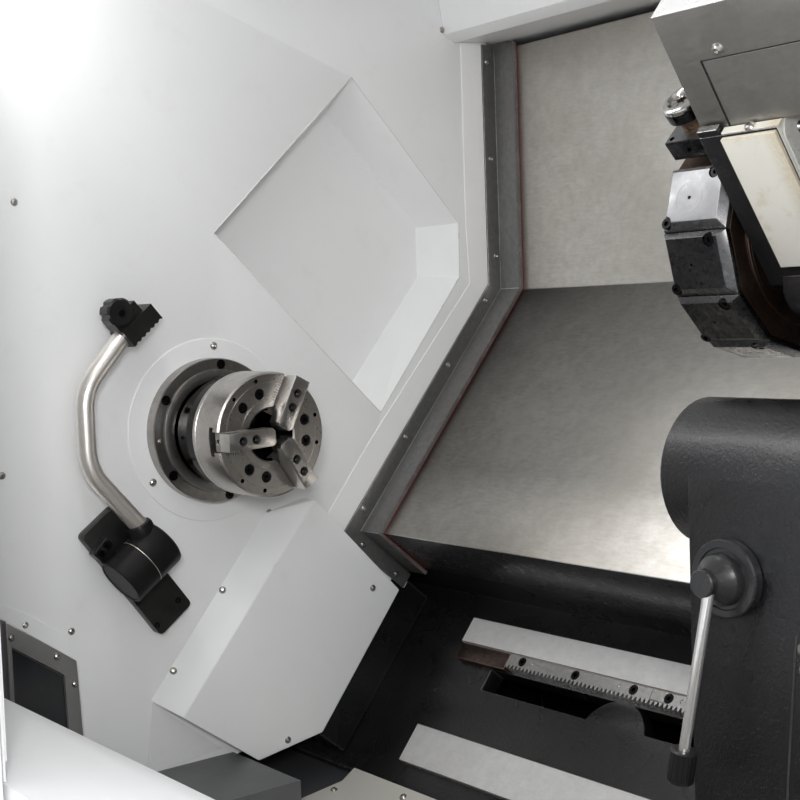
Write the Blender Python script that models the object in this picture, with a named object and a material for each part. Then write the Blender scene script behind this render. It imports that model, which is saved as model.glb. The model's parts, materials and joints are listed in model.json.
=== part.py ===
"""Slant-bed turning lathe: enclosure, bed, headstock with chuck, carriage with turret, tailstock.

Lengths below are millimetres in the spindle frame: X along the spindle from the headstock wall,
Y to the back, Z up, with the spindle axis at y = z = 0. put() turns them into world metres.
"""
import bpy
import bmesh
import math
from mathutils import Matrix, Vector

for ob in list(bpy.data.objects):
    bpy.data.objects.remove(ob, do_unlink=True)

# Driving dimensions
SPINDLE_H = 1050.0          # spindle axis above the floor
X_MID, Y_MID = 685.0, 94.0  # spindle-frame point above the world origin
GAP = 0.3                   # air between pieces that touch
SLANT = math.radians(50)    # bed angle
X_LEFT, X_RIGHT = -780.0, 2120.0
Y_FRONT, Y_BACK = -690.0, 960.0
Z_TOP = 900.0
Z_BASE = -680.0             # top of the base box
X_TAIL = 1745.0             # tail-end wall
OPEN_X0, OPEN_X1 = 700.0, 1735.0
OPEN_Z0, OPEN_Z1 = -300.0, 700.0

N_RAIL = -600.0             # tailstock ways, measured square to the slant
N_BED_LOW = -622.0
N_BED_HIGH = -445.0
N_COVER = -395.0            # front skin of the way cover
Y_COVER = 714.0
S_LIP = 44.0

R_CHUCK, X_CHUCK0, X_CHUCK1 = 105.0, 115.0, 197.0
JAW_ANGLES = (183.0, 63.0, 303.0)

TUR_S, TUR_R, TUR_X0, TUR_X1 = 366.0, 159.5, 980.0, 1077.0
TUR_STATIONS, TUR_PHASE = 12, 165.5

ARM_ANGLE = math.radians(36.5)
ARM_X, ARM_Y, ARM_Z = 58.0, -176.0, -205.0
RACK_PITCH = 3.0 * math.pi


def sn(s, n):
    """Point of the bed's slanted section: s up the slant, n square to it."""
    return (s * math.cos(SLANT) - n * math.sin(SLANT), s * math.sin(SLANT) + n * math.cos(SLANT))


def put(p):
    return Vector(((p[0] - X_MID) / 1000, (p[1] - Y_MID) / 1000, (p[2] + SPINDLE_H) / 1000))


def material(name, colour, rough, metal=0.0):
    m = bpy.data.materials.new(name)
    m.use_nodes = True
    b = m.node_tree.nodes["Principled BSDF"]
    b.inputs["Base Color"].default_value = (*colour, 1)
    b.inputs["Roughness"].default_value = rough
    b.inputs["Metallic"].default_value = metal
    m.diffuse_color = (*colour, 1)
    return m


def place(name, bm, mat, origin, parent=None, smooth=None):
    """Turns a bmesh in spindle-frame millimetres into a named object with its origin at a point."""
    o = put(origin)
    for v in bm.verts:
        v.co = put(v.co) - o
    bmesh.ops.recalc_face_normals(bm, faces=bm.faces)
    mesh = bpy.data.meshes.new(name)
    bm.to_mesh(mesh)
    bm.free()
    mesh.materials.append(material(name + "_mat", *mat))
    ob = bpy.data.objects.new(name, mesh)
    bpy.context.scene.collection.objects.link(ob)
    ob.location = o
    if parent is not None:
        ob.parent = parent
        ob.matrix_parent_inverse = Matrix.Translation(-parent.location)
    if smooth:
        mesh.shade_smooth()
        mesh.set_sharp_from_angle(angle=math.radians(smooth))
    return ob


def pivot(name, p):
    e = bpy.data.objects.new(name, None)
    bpy.context.scene.collection.objects.link(e)
    e.empty_display_size = 0.1
    e.location = put(p)
    return e


def prism(profile, x0, x1, bm=None):
    """Closed solid: a (y, z) outline drawn out along X."""
    bm = bm or bmesh.new()
    a = [bm.verts.new((x0, y, z)) for y, z in profile]
    b = [bm.verts.new((x1, y, z)) for y, z in profile]
    bm.faces.new(a)
    bm.faces.new(b[::-1])
    for i in range(len(a)):
        j = (i + 1) % len(a)
        bm.faces.new((a[i], b[i], b[j], a[j]))
    return bm


def block(lo, hi, bm=None):
    return prism([(lo[1], lo[2]), (hi[1], lo[2]), (hi[1], hi[2]), (lo[1], hi[2])], lo[0], hi[0], bm)


def sheet(path, t):
    """Outline of a folded sheet: an open (y, z) path given a thickness to its left."""
    pts = [Vector(p) for p in path]
    off = []
    for i, p in enumerate(pts):
        dirs = []
        if i > 0:
            dirs.append((p - pts[i - 1]).normalized())
        if i < len(pts) - 1:
            dirs.append((pts[i + 1] - p).normalized())
        normals = [Vector((-d.y, d.x)) for d in dirs]
        n = sum(normals, Vector((0, 0))).normalized()
        off.append(p + n * (t / n.dot(normals[0])))
    return [tuple(p) for p in pts] + [tuple(p) for p in reversed(off)]


def turned(profile, centre, axis, seg, bm=None):
    """Closed solid turned about an axis. profile is (along, radius); a closed ring if it never meets the axis."""
    bm = bm or bmesh.new()
    c, ax = Vector(centre), Vector(axis).normalized()
    side = ax.orthogonal().normalized() if abs(ax.x) < 0.99 else Vector((0, 1, 0))
    up = ax.cross(side)
    rings = []
    for along, r in profile:
        if r < 1e-6:
            rings.append([bm.verts.new(c + ax * along)])
        else:
            rings.append([bm.verts.new(c + ax * along + (side * math.cos(t) + up * math.sin(t)) * r)
                          for t in (2 * math.pi * k / seg for k in range(seg))])
    closed = profile[0][1] > 1e-6
    n = len(rings)
    for i in range(n if closed else n - 1):
        a, b = rings[i], rings[(i + 1) % n]
        for k in range(seg):
            m = (k + 1) % seg
            if len(a) == 1:
                bm.faces.new((a[0], b[m], b[k]))
            elif len(b) == 1:
                bm.faces.new((a[k], a[m], b[0]))
            else:
                bm.faces.new((a[k], a[m], b[m], b[k]))
    return bm


def rod(a, b, r, seg=16, bm=None):
    a, b = Vector(a), Vector(b)
    return turned([(0, 0), (0, r), ((b - a).length, r), ((b - a).length, 0)], a, b - a, seg, bm)


def tool(bm):
    """Hidden cutter or joined shape for a Boolean."""
    ob = place("tool", bm, ((1, 1, 1), 0.5), (X_MID, Y_MID, -SPINDLE_H))
    ob.hide_render = True
    ob.display_type = "WIRE"
    return ob


def combine(ob, kind, *shapes):
    for bm in shapes:
        mod = ob.modifiers.new(kind.lower(), "BOOLEAN")
        mod.operation = kind
        mod.solver = "EXACT"
        mod.object = tool(bm)


WHITE = ((0.82, 0.83, 0.82), 0.42)
CREAM = ((0.74, 0.72, 0.64), 0.4)
BLACK = ((0.028, 0.028, 0.03), 0.38)
DARK = ((0.09, 0.09, 0.095), 0.5)
GREY = ((0.42, 0.42, 0.42), 0.45)
STEEL = ((0.62, 0.61, 0.59), 0.28, 1.0)
STAINLESS = ((0.5, 0.485, 0.46), 0.34, 1.0)

# Base box with the chip drawer's bay, the chip chute's outlet and six levelling pads
base = place("machine_base", block((X_LEFT, -640, -1000), (X_RIGHT, 950, Z_BASE)), DARK, (X_MID, Y_MID, -SPINDLE_H))
combine(base, "DIFFERENCE", block((55, -700, -965), (1740, 250, -712)), block((300, -400, -720), (1500, 0, -600)),
        block((-640, -500, -1010), (35, 810, -692)), block((1760, -500, -1010), (1980, 810, -692)),
        block((55, 266, -1010), (1740, 810, -692)))
feet = bmesh.new()
for fx in (-700, 670, 2040):
    for fy in (-560, 870):
        rod((fx, fy, -1050), (fx, fy, -990), 45, 16, feet)
combine(base, "UNION", feet)

# Bed casting: low step for the tailstock ways, high step for the carriage guides
bed_section = [sn(-345, N_BED_LOW), sn(54, N_BED_LOW), sn(54, N_BED_HIGH), sn(640, N_BED_HIGH),
               (800, 204), (860, 100), (860, Z_BASE + GAP), (268, Z_BASE + GAP)]
bed = place("bed_casting", prism(bed_section, -740, 1690), BLACK, (0, 400, -400))


def slab(points, n0, n1):
    """Closed solid: an (x, s) outline lying on the slant, drawn out square to it."""
    bm = bmesh.new()
    a = [bm.verts.new((x, *sn(s, n0))) for x, s in points]
    b = [bm.verts.new((x, *sn(s, n1))) for x, s in points]
    bm.faces.new(a)
    bm.faces.new(b[::-1])
    for i in range(len(a)):
        j = (i + 1) % len(a)
        bm.faces.new((a[i], b[i], b[j], a[j]))
    return bm


# Two cast windows either side of a round boss, under the rack
curve = [(64.3, -126), (58.2, -113), (48.1, -100), (37, -90.6), (23, -84)]
combine(bed, "DIFFERENCE", slab([(255, -126)] + [(580 - x, s) for x, s in curve] + [(255, -84)], -700, -600),
        slab([(580 + x, s) for x, s in curve] + [(900, -84), (900, -126)], -700, -600))
core = [(316, -720), sn(-300, -660), sn(92, -660), sn(92, -485), sn(600, -485), (820, 90), (820, -720)]
for px0, px1 in ((-705, -60), (-25, 780), (815, 1655)):
    combine(bed, "DIFFERENCE", prism(core, px0, px1))


def slant_bar(name, s0, s1, n0, n1, x0, x1, mat, parent=None, origin=None):
    prof = [sn(s0, n0), sn(s1, n0), sn(s1, n1), sn(s0, n1)]
    return place(name, prism(prof, x0, x1), mat, origin or (x0, *sn(s0, n0)), parent)


slant_bar("way_upper", -52, 0, N_BED_LOW + GAP, N_RAIL, 168, 1690, STEEL)
slant_bar("way_lower", -302, -227, N_BED_LOW + GAP, N_RAIL, 168, 1690, STEEL)
slant_bar("guide_lower", 120, 160, N_BED_HIGH + GAP, -412, -700, 1690, STEEL)
slant_bar("guide_upper", 540, 580, N_BED_HIGH + GAP, -412, -700, 1690, STEEL)
slant_bar("rack_stop", -84, -52 - GAP, N_BED_LOW + GAP, -606, 168, 300 - GAP, ((0.2, 0.15, 0.12), 0.4, 0.6))

# Gear rack below the upper way: trapezoid teeth drawn out square to the slant
s_root, s_tip, s_back = -72.5, -79.0, -52.0 - GAP
outline = [(300.0, s_back), (300.0, s_root)]
for k in range(int((1500 - 300) / RACK_PITCH)):
    x = 300 + RACK_PITCH * (k + 0.5)
    outline += [(x - 3.6, s_root), (x - 1.3, s_tip), (x + 1.3, s_tip), (x + 3.6, s_root)]
outline += [(1500.0, s_root), (1500.0, s_back)]
place("gear_rack", slab(outline, N_BED_LOW + GAP, -605), STEEL, (300, *sn(-60, -610)))

# Headstock casting behind the wall, bored for the spindle
head = place("headstock_casting", prism([(-180, 175), (135, 175), sn(28, -300), sn(28, N_BED_LOW + GAP),
             sn(-320, N_BED_LOW + GAP), sn(-320, -400), (-180, -180)], -560, -8), DARK, (0, 0, 0))
combine(head, "DIFFERENCE", rod((-600, 0, 0), (20, 0, 0), 72, 48))

# White headstock wall with the diamond-shaped recess and the spindle hole
wall_edge = [(-410, Z_TOP - 5), (-410, -560), (-300, -640), (30, -640), (30, -590), (180, -575),
             sn(-312, -512), sn(8, -512), sn(8, -550), sn(22, -550),
             sn(22, -374), (690, (-374 + 690 * math.sin(SLANT)) / math.cos(SLANT)), (690, Z_TOP - 5)]
wall = place("headstock_wall", prism(wall_edge, -3, 0), WHITE, (0, 0, 0))
RIM = [(341, 645), (24, 347), (383, 4), (597, 265), (599, 374)]
FLOOR = [(341, 594), (62, 345), (384, 62), (560, 268), (560, 370)]


def tub(rim, floor, x_rim, x_floor, grow):
    bm = bmesh.new()
    centre = Vector((390, 320))

    def ring(points, x):
        return [bm.verts.new((x, *(Vector(p) + (Vector(p) - centre).normalized() * grow))) for p in points]
    a, b = ring(rim, x_rim), ring(floor, x_floor)
    bm.faces.new(a)
    bm.faces.new(b[::-1])
    for i in range(len(a)):
        j = (i + 1) % len(a)
        bm.faces.new((a[i], b[i], b[j], a[j]))
    return bm


combine(wall, "UNION", tub(RIM, FLOOR, -1, -93, 5))
combine(wall, "DIFFERENCE", tub(RIM, FLOOR, 0.5, -90, 0), rod((-20, 0, 0), (20, 0, 0), 90, 64))

# Folded white cover below the chuck: a sloping flange up to a raised flat face
cover = bmesh.new()
foot = [cover.verts.new((GAP, *p)) for p in
        ((108, -160), sn(16, -240), sn(-15, -510), sn(-319, -514), (49, -595), (-101, -487), (-143, -459))]
face = [cover.verts.new((40, *p)) for p in
        (sn(14, -238), sn(-14, -511), sn(-321, -516), (48, -599), (-101, -490))]
cover.faces.new(foot)
cover.faces.new(face[::-1])
for i in range(4):
    cover.faces.new((foot[i + 1], face[i], face[i + 1], foot[i + 2]))
cover.faces.new((foot[0], face[0], foot[1]))
cover.faces.new((foot[6], foot[5], face[4]))
cover.faces.new((foot[0], foot[6], face[4], face[0]))
place("wall_lower_cover", cover, WHITE, (0, 100, -400))

# Round cover disc and the ground bearing cap around the spindle
place("spindle_disc", turned([(GAP, 90), (GAP, 162), (2.3, 162), (2.3, 90)], (0, 0, 0), (1, 0, 0), 64),
      WHITE, (0, 0, 0), smooth=40)
place("bearing_cap", turned([(2.6, 88), (2.6, 127), (26, 127), (28, 125), (28, 104), (31, 102), (31, 88)],
      (0, 0, 0), (1, 0, 0), 64), STEEL, (0, 0, 0), smooth=30)

# Dark angle frame around the way cover's passage, with its wiper
z_low = (-388 + 707 * math.sin(SLANT)) / math.cos(SLANT)


def passage(dy, dn, ds, end_n, top):
    """Path beside the way cover: down the back, along the slant, then across its lip."""
    y, n, s = 707 + dy, -388 + dn, 38 + ds
    return [(y, top), (y, (n + y * math.sin(SLANT)) / math.cos(SLANT)), sn(s, n), sn(s, end_n)]


flange = passage(0, 0, 0, -545, 738) + passage(-33, 32, -33, -545, 738)[::-1]
frame = place("way_frame", prism(flange, GAP, 4), DARK, (0, 400, 0))
combine(frame, "UNION", prism(passage(0, 0, 0, -535, 738) + passage(3, -3, 3, -535, 738)[::-1], 2, 60))
place("way_wiper", prism(passage(-2, 2, -2, -530, 736) + passage(6.5, -6.5, 5.6, -530, 736)[::-1], 60 + GAP, 65),
      ((0.55, 0.04, 0.03), 0.6), (60, 400, 0))

# Folded sheets of the enclosure
canopy_path = [(890, 742), (676, 742), (602, 734), (577, 748), (556, 850), (556, Z_TOP - 8)]
place("canopy", prism(sheet(canopy_path, -3), GAP, X_TAIL - 3.6), WHITE, (0, 600, 742))
chute = place("chip_chute", prism(sheet([(-537, -330), (-470, -560), (-440, -672), (95, -669), (190, -658), (219, -640)],
              3), GAP, X_TAIL - 3.6), GREY, (0, 0, -606))
combine(chute, "DIFFERENCE", block((320, -390, -700), (1480, -20, -560)), block((-10, 30, -700), (97, 300, -600)))
combine(chute, "UNION", prism([(-468, -585), (19, -585), (19, -671), (-455, -671)], GAP, 215))
place("front_sill", prism(sheet([(-541, -380), (-541, -306), (-570, OPEN_Z0), (Y_FRONT, OPEN_Z0),
      (Y_FRONT, Z_BASE + 5)], 3), -7, X_RIGHT - 370.6), WHITE, (0, Y_FRONT, OPEN_Z0))
place("door_header", prism(sheet([(Y_FRONT + 3, Z_TOP - 5), (Y_FRONT + 3, OPEN_Z1 + 3), (-600, OPEN_Z1 + 3),
      (-600, OPEN_Z1 + 30)], -3), -7, X_RIGHT - 370.6), WHITE, (0, Y_FRONT, OPEN_Z1))
ret = bmesh.new()
quad = [(4, -412), (690, -684), (691, -681), (5, -409)]
bottom = [ret.verts.new((x, y, OPEN_Z0 + 20)) for x, y in quad]
top = [ret.verts.new((x, y, OPEN_Z1 - 10)) for x, y in quad]
ret.faces.new(bottom)
ret.faces.new(top[::-1])
for i in range(4):
    ret.faces.new((bottom[i], top[i], top[(i + 1) % 4], bottom[(i + 1) % 4]))
place("left_return", ret, WHITE, (0, -410, 0))
place("roof_back_panel", prism([(Y_FRONT, Z_TOP), (Y_FRONT, Z_TOP - 4), (Y_BACK - 4, Z_TOP - 4),
      (Y_BACK - 4, Z_BASE + GAP), (Y_BACK, Z_BASE + GAP), (Y_BACK, Z_TOP)], -7, X_TAIL + 4), WHITE,
      (X_MID, Y_MID, Z_TOP))
tail = place("tail_wall", block((X_TAIL - 3, -680, Z_BASE + GAP), (X_TAIL, Y_BACK - 5, Z_TOP - 5)), WHITE,
             (X_TAIL, 0, 0))
combine(tail, "DIFFERENCE", block((X_TAIL - 20, -700, -800), (X_TAIL + 20, -530, OPEN_Z0 + 4)),
        block((X_TAIL - 20, -700, OPEN_Z1 - 4), (X_TAIL + 20, -590, 1000)))
left = place("left_cabinet", block((X_LEFT, Y_FRONT, Z_BASE + GAP), (-7.6, Y_BACK, Z_TOP)), WHITE, (X_LEFT, 0, 0))
combine(left, "DIFFERENCE", block((X_LEFT + 4, Y_FRONT + 4, -900), (20, Y_BACK - 4, Z_TOP - 4)))
combine(left, "UNION", block((-20, Y_FRONT, OPEN_Z0 + GAP), (OPEN_X0, Y_FRONT + 4, OPEN_Z1 - GAP)))
right = place("right_cabinet", block((X_TAIL + 5, Y_FRONT, Z_BASE + GAP), (X_RIGHT, Y_BACK, Z_TOP)), WHITE,
              (X_RIGHT, 0, 0))
combine(right, "DIFFERENCE", block((X_TAIL - 20, Y_FRONT + 4, -900), (X_RIGHT - 4, Y_BACK - 4, Z_TOP - 4)),
        block((X_RIGHT - 20, -380, -560), (X_RIGHT + 20, 660, 640)))

# Work lamp: a dark window in a folded frame on the wall's lower front corner
lamp_rim = [(-288, -357), (-405, -272), (-405, -556), (-279, -556)]
lamp_glass = [(-311, -377), (-397, -316), (-397, -544), (-304, -544)]
lamp_ob = place("work_lamp", prism(lamp_rim, GAP, 30), DARK, (0, -330, -400))
combine(lamp_ob, "DIFFERENCE", prism(lamp_glass, 22, 60))

# Door tracks along the header and the sill
combine(bpy.data.objects["door_header"], "UNION",
        block((10, -700, OPEN_Z1 + 18), (X_TAIL, Y_FRONT + 1, OPEN_Z1 + 34)),
        block((-420, -722, OPEN_Z1 + 18), (X_TAIL + 5, Y_FRONT - GAP, OPEN_Z1 + 34)))
combine(bpy.data.objects["front_sill"], "UNION",
        block((10, -700, OPEN_Z0 - 34), (X_TAIL, Y_FRONT + 1, OPEN_Z0 - 18)),
        block((-420, -722, OPEN_Z0 - 34), (X_TAIL + 5, Y_FRONT - GAP, OPEN_Z0 - 18)))

# Spindle, hollow drawbar cylinder at the rear, and the chuck
spin = pivot("spindle_axis", (0, 0, 0))
shaft = [(-720, 24), (-720, 96), (-640, 96), (-640, 62), (-600, 62), (-600, 110), (-572, 110), (-572, 68),
         (-6, 68), (-6, 80), (34, 80), (34, 86), (60, 86), (60, 94), (88, 94), (88, 99), (X_CHUCK0 - GAP, 99),
         (X_CHUCK0 - GAP, 24)]
place("spindle_shaft", turned(shaft, (0, 0, 0), (1, 0, 0), 64), ((0.09, 0.09, 0.09), 0.25, 0.8), (0, 0, 0), spin,
      smooth=30)
body = [(X_CHUCK0, 27), (X_CHUCK0, 101), (X_CHUCK0 + 4, R_CHUCK), (X_CHUCK1 - 4, R_CHUCK), (X_CHUCK1, 101),
        (X_CHUCK1, 44), (X_CHUCK1 - 12, 44), (X_CHUCK1 - 12, 27)]
chuck = place("chuck_body", turned(body, (0, 0, 0), (1, 0, 0), 72), STEEL, (0, 0, 0), spin, smooth=30)


def radial(profile, angle, x0, x1):
    """Prism whose (radius, across) outline lies square to X, turned to an angle."""
    a = math.radians(angle)
    u, v = Vector((math.cos(a), math.sin(a))), Vector((-math.sin(a), math.cos(a)))
    return prism([tuple(u * r + v * t) for r, t in profile], x0, x1)


def bar(r0, r1, w):
    return [(r0, -w), (r1, -w), (r1, w), (r0, w)]


for i, ang in enumerate(JAW_ANGLES):
    combine(chuck, "DIFFERENCE", radial(bar(34, 130, 16.3), ang, 182, 220), radial(bar(34, 130, 23.3), ang, 172, 182.5))
    a = math.radians(ang)
    away = pivot(f"jaw_axis_{i + 1}", (X_CHUCK1, 60 * math.cos(a), 60 * math.sin(a)))
    away.parent = spin
    away.matrix_parent_inverse = Matrix.Translation(-spin.location)
    centre = (X_CHUCK1, 60 * math.cos(a), 60 * math.sin(a))
    jaw = place(f"master_jaw_{i + 1}", radial(bar(46, 102, 16), ang, 180, 200), STEEL, centre)
    combine(jaw, "UNION", radial(bar(46, 102, 23), ang, 172.3, 182.2))
    tip = [(7, 0), (24, -15), (102, -15), (102, 15), (24, 15)]
    hard = place(f"top_jaw_{i + 1}", radial(tip, ang, 200 + GAP, 229), STEEL, centre)
    for r in (52, 77):
        y, z = r * math.cos(a), r * math.sin(a)
        combine(hard, "DIFFERENCE", rod((217, y, z), (240, y, z), 7.5, 16))
    for ob in (jaw, hard):
        ob.parent = away
        ob.matrix_parent_inverse = Matrix.Translation(-put(centre))

# Carriage: saddle on the guides and the stainless cover that runs through the wall
saddle_axis = pivot("carriage_axis", (1250, *sn(300, -400)))
plate = [sn(58, -411.7), sn(640, -411.7), sn(640, -345), sn(58, -345)]
saddle = place("saddle", prism(plate, 1092, 1400), BLACK, (1250, *sn(300, -400)), saddle_axis)
for gx0, gx1 in ((1110, 1150), (1340, 1380)):
    combine(saddle, "UNION", prism([sn(70, -350), sn(640, -350), sn(640, -325), sn(70, -325)], gx0, gx1))
z_fold = (N_COVER + Y_COVER * math.sin(SLANT)) / math.cos(SLANT)
cover_path = [(Y_COVER, 728), (Y_COVER, z_fold), sn(S_LIP, N_COVER), sn(S_LIP, -520)]
place("way_cover", prism(sheet(cover_path, 3), -40, 1091.6), STAINLESS, (500, *sn(300, N_COVER)), saddle_axis)

# Cross-slide, turret housing and the stainless box over it
cross_axis = pivot("cross_axis", (1250, *sn(400, -300)))
cross_axis.parent = saddle_axis
cross_axis.matrix_parent_inverse = Matrix.Translation(-saddle_axis.location)


def on_cross(name, points, x0, x1, mat):
    return place(name, prism([sn(*p) for p in points], x0, x1), mat, (1250, *sn(400, -300)), cross_axis)


on_cross("cross_slide", [(190, -324.7), (640, -324.7), (640, -280), (190, -280)], 1098, 1394, BLACK)
housing = on_cross("turret_housing", [(309, 224), (640, 224), (640, -280 + GAP), (330, -280 + GAP), (300, -70),
                   (261, 15)], 1080, 1187, BLACK)
combine(housing, "UNION", prism([sn(430, -279), sn(638, -279), sn(638, 150), sn(430, 150)], 1180, 1392))
cy, cz = sn(282, -8)
combine(housing, "UNION", rod((1104, cy, cz), (1183, cy, cz), 40, 32))
on_cross("turret_cover", [(308.0, 222), (267.4, 45), (261.4, 46), (302.0, 223)], 1112, 1186, CREAM)
box = on_cross("slide_box", [(357, 368), (640, 368), (640, 224 + GAP), (320, 224 + GAP)], 1079, 1452, STAINLESS)
combine(box, "DIFFERENCE", prism([sn(359.4, 365), sn(637, 365), sn(637, 210), sn(319.5, 210)], 1082, 1449))

# Twelve-station turret disc: each side is stepped out to a bevelled blank cover
tur = pivot("turret_axis", (1080, *sn(TUR_S, 0)))
tur.parent = cross_axis
tur.matrix_parent_inverse = Matrix.Translation(-cross_axis.location)
tcy, tcz = sn(TUR_S, 0)
disc = bmesh.new()
step = 2 * math.pi / TUR_STATIONS
core = (TUR_R - 14) / math.cos(step / 2)
rim = [(tcy + core * math.cos(math.radians(TUR_PHASE) + (k + 0.5) * step),
        tcz + core * math.sin(math.radians(TUR_PHASE) + (k + 0.5) * step)) for k in range(TUR_STATIONS)]
prism(rim, TUR_X0, TUR_X1, disc)
bmesh.ops.recalc_face_normals(disc, faces=disc.faces)
sides = [f for f in disc.faces if len(f.verts) == 4]
bmesh.ops.inset_individual(disc, faces=sides, thickness=1.0, depth=0, use_even_offset=True)
res = bmesh.ops.extrude_discrete_faces(disc, faces=sides)
outer = res["faces"]
for f in outer:
    n = f.normal.copy()
    c = f.calc_center_median()
    for v in f.verts:
        v.co += n * 8
    across = Vector((0, -n.z, n.y))
    grow = 40.6 / max(abs((v.co - c).dot(across)) for v in f.verts)
    for v in f.verts:
        v.co += across * ((v.co - c).dot(across)) * (grow - 1)
bmesh.ops.inset_individual(disc, faces=outer, thickness=7, depth=0, use_even_offset=True)
for f in outer:
    n = f.normal.copy()
    for v in f.verts:
        v.co += n * 6
disc_ob = place("turret_disc", disc, BLACK, (1080, tcy, tcz), tur)
combine(disc_ob, "UNION", turned([(0, 0), (0, 62), (14, 62), (14, 0)], (968, tcy, tcz), (1, 0, 0), 32),
        turned([(0, 0), (0, 122), (14, 122), (14, 0)], (1065.7, tcy, tcz), (1, 0, 0), 48))

# Collet tool holder on the station above the three blank covers that face the door
ha = math.radians(TUR_PHASE - 30)
hu, hv = Vector((math.cos(ha), math.sin(ha))), Vector((-math.sin(ha), math.cos(ha)))
hc = Vector((tcy, tcz))
holder = place("collet_holder", prism([tuple(hc + hu * r + hv * t) for r, t in
               ((TUR_R + GAP, -33), (TUR_R + GAP, 33), (188, 33), (188, -33))], 984, 1048), BLACK,
               (1080, tcy, tcz), tur)
neck = hc + hu * 180
combine(holder, "UNION", turned([(0, 0), (0, 18), (23, 18), (23, 0)], (1016, *neck), (0, *hu), 24))
nut = hc + hu * 198
place("collet_nut", turned([(5 + GAP, 0), (5 + GAP, 22), (9, 27), (25, 27), (31, 22), (31, 11), (14, 9), (14, 0)],
      (1016, *nut), (0, *hu), 32), STEEL, (1080, tcy, tcz), tur, smooth=35)

# Tailstock: round quill housing on a tall casting that stands on both ways
tail_axis = pivot("tailstock_axis", (1300, *sn(-150, N_RAIL)))
foot = [(-85, 0), (-85, -420), (96, -585), sn(-305, -590), sn(-305, N_RAIL + GAP), sn(-224, N_RAIL + GAP),
        sn(-224, -585), sn(-55, -585), sn(-55, N_RAIL + GAP), sn(4, N_RAIL + GAP), sn(6, -480), (96, -40), (80, 20),
        (-80, 20)]
tailstock = place("tailstock_body", turned([(0, 0), (0, 78), (6, 84), (372, 84), (380, 78), (380, 0)],
                  (1100, 0, 0), (1, 0, 0), 48), BLACK, (1300, *sn(-150, N_RAIL)), tail_axis, smooth=35)
combine(tailstock, "UNION", prism(foot, 1145, 1478))
combine(tailstock, "DIFFERENCE", rod((1090, 0, 0), (1440, 0, 0), 41.3, 32))
quill = place("quill", turned([(60, 0), (60, 11), (0, 15), (0, 38), (3, 41), (330, 41), (330, 0)],
              (1104, 0, 0), (1, 0, 0), 32), STEEL, (1104, 0, 0), tail_axis, smooth=35)

# Clamp lever: flanged cone hub, slim rod and ribbed grip
lever_axis = pivot("lever_axis", (1200, -85, -100))
lever_axis.parent = tail_axis
lever_axis.matrix_parent_inverse = Matrix.Translation(-tail_axis.location)
hub = turned([(GAP, 0), (GAP, 42), (8, 42), (12, 34), (16, 27), (38, 14), (50, 13), (50, 0)], (1200, -85, -100),
             (0, -1, 0), 32)
lever = place("clamp_lever", hub, BLACK, (1200, -85, -100), lever_axis, smooth=35)
tip_a, tip_b = Vector((1200, -128, -104)), Vector((1163, -128, -292))
combine(lever, "UNION", rod(tip_a, tip_b, 5.5, 12))
way = (tip_b - tip_a).normalized()
combine(lever, "UNION", turned([(0, 0), (0, 10), (4, 12), (44, 13), (48, 10), (48, 0)], tip_b - way * 4, way, 16))

# Tool presetter: plate on the wall, fixed half of the pivot, and the swinging arm with its sensing head
d = Vector((0, math.cos(ARM_ANGLE), math.sin(ARM_ANGLE)))
e = Vector((0, -math.sin(ARM_ANGLE), math.cos(ARM_ANGLE)))
c = Vector((ARM_X, ARM_Y, ARM_Z))
mid = Vector((0, -164, -228))
arm_plate = bmesh.new()
plate = []
for a, b in ((-117, -39), (117, -39), (117, 39), (-117, 39)):
    for k in range(4):
        t = {(-117, -39): 180, (117, -39): 270, (117, 39): 0, (-117, 39): 90}[(a, b)] + k * 30
        p = mid + e * (-(a - math.copysign(8, a) + 8 * math.cos(math.radians(t)))) \
            + d * (b - math.copysign(8, b) + 8 * math.sin(math.radians(t)))
        plate.append((p.y, p.z))
prism(plate, GAP, 20, arm_plate)
pre = place("presetter_base", arm_plate, BLACK, (0, -164, -228))
low_end = c + d * -44
combine(pre, "UNION", turned([(0, 0), (0, 33), (3, 36), (44 - 0.6, 36), (44 - 0.6, 0)], low_end, d, 32),
        prism([(p.y, p.z) for p in (low_end + d * 4 - e * 24, low_end + d * 40 - e * 24, low_end + d * 40 + e * 24,
               low_end + d * 4 + e * 24)], 10, ARM_X))
swing = pivot("presetter_axis", tuple(c))
arm = place("presetter_arm", turned([(0.6, 0), (0.6, 36), (41, 36), (44, 33), (44, 0)], c, d, 32),
            BLACK, tuple(c), swing, smooth=35)
path = [c + d * 24, Vector((ARM_X, -184, -126)), Vector((ARM_X, -243, -52)), Vector((ARM_X, -258, -25)),
        Vector((ARM_X, -266, 5)), Vector((ARM_X, -266, 88)), Vector((ARM_X, -260, 114)), Vector((ARM_X, -246, 136)),
        Vector((ARM_X, -190, 192))]
tube = bmesh.new()
rings = []
for i, p in enumerate(path):
    t = ((path[min(i + 1, len(path) - 1)] - p).normalized() + (p - path[max(i - 1, 0)]).normalized()).normalized()
    side = Vector((1, 0, 0))
    up = t.cross(side)
    rings.append([tube.verts.new(p + (side * math.cos(q) + up * math.sin(q)) * 15.5)
                  for q in (2 * math.pi * k / 20 for k in range(20))])
tube.faces.new(rings[0][::-1])
tube.faces.new(rings[-1])
for a, b in zip(rings, rings[1:]):
    for k in range(20):
        tube.faces.new((a[k], a[(k + 1) % 20], b[(k + 1) % 20], b[k]))
combine(arm, "UNION", tube)
hd = Vector((-166, 204))
hx = Vector((math.cos(math.radians(35)), math.sin(math.radians(35))))
hy = Vector((-hx.y, hx.x))
shape = [hd + hx * a + hy * b for a, b in ((-52, -20), (-30, -34), (10, -34), (24, -22), (46, -22), (52, -12), (52, 14),
         (40, 26), (14, 26), (2, 36), (-36, 36), (-52, 22))]
place("presetter_head", prism([tuple(p) for p in shape], ARM_X - 24, ARM_X + 26), BLACK, tuple(c), swing)
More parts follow.
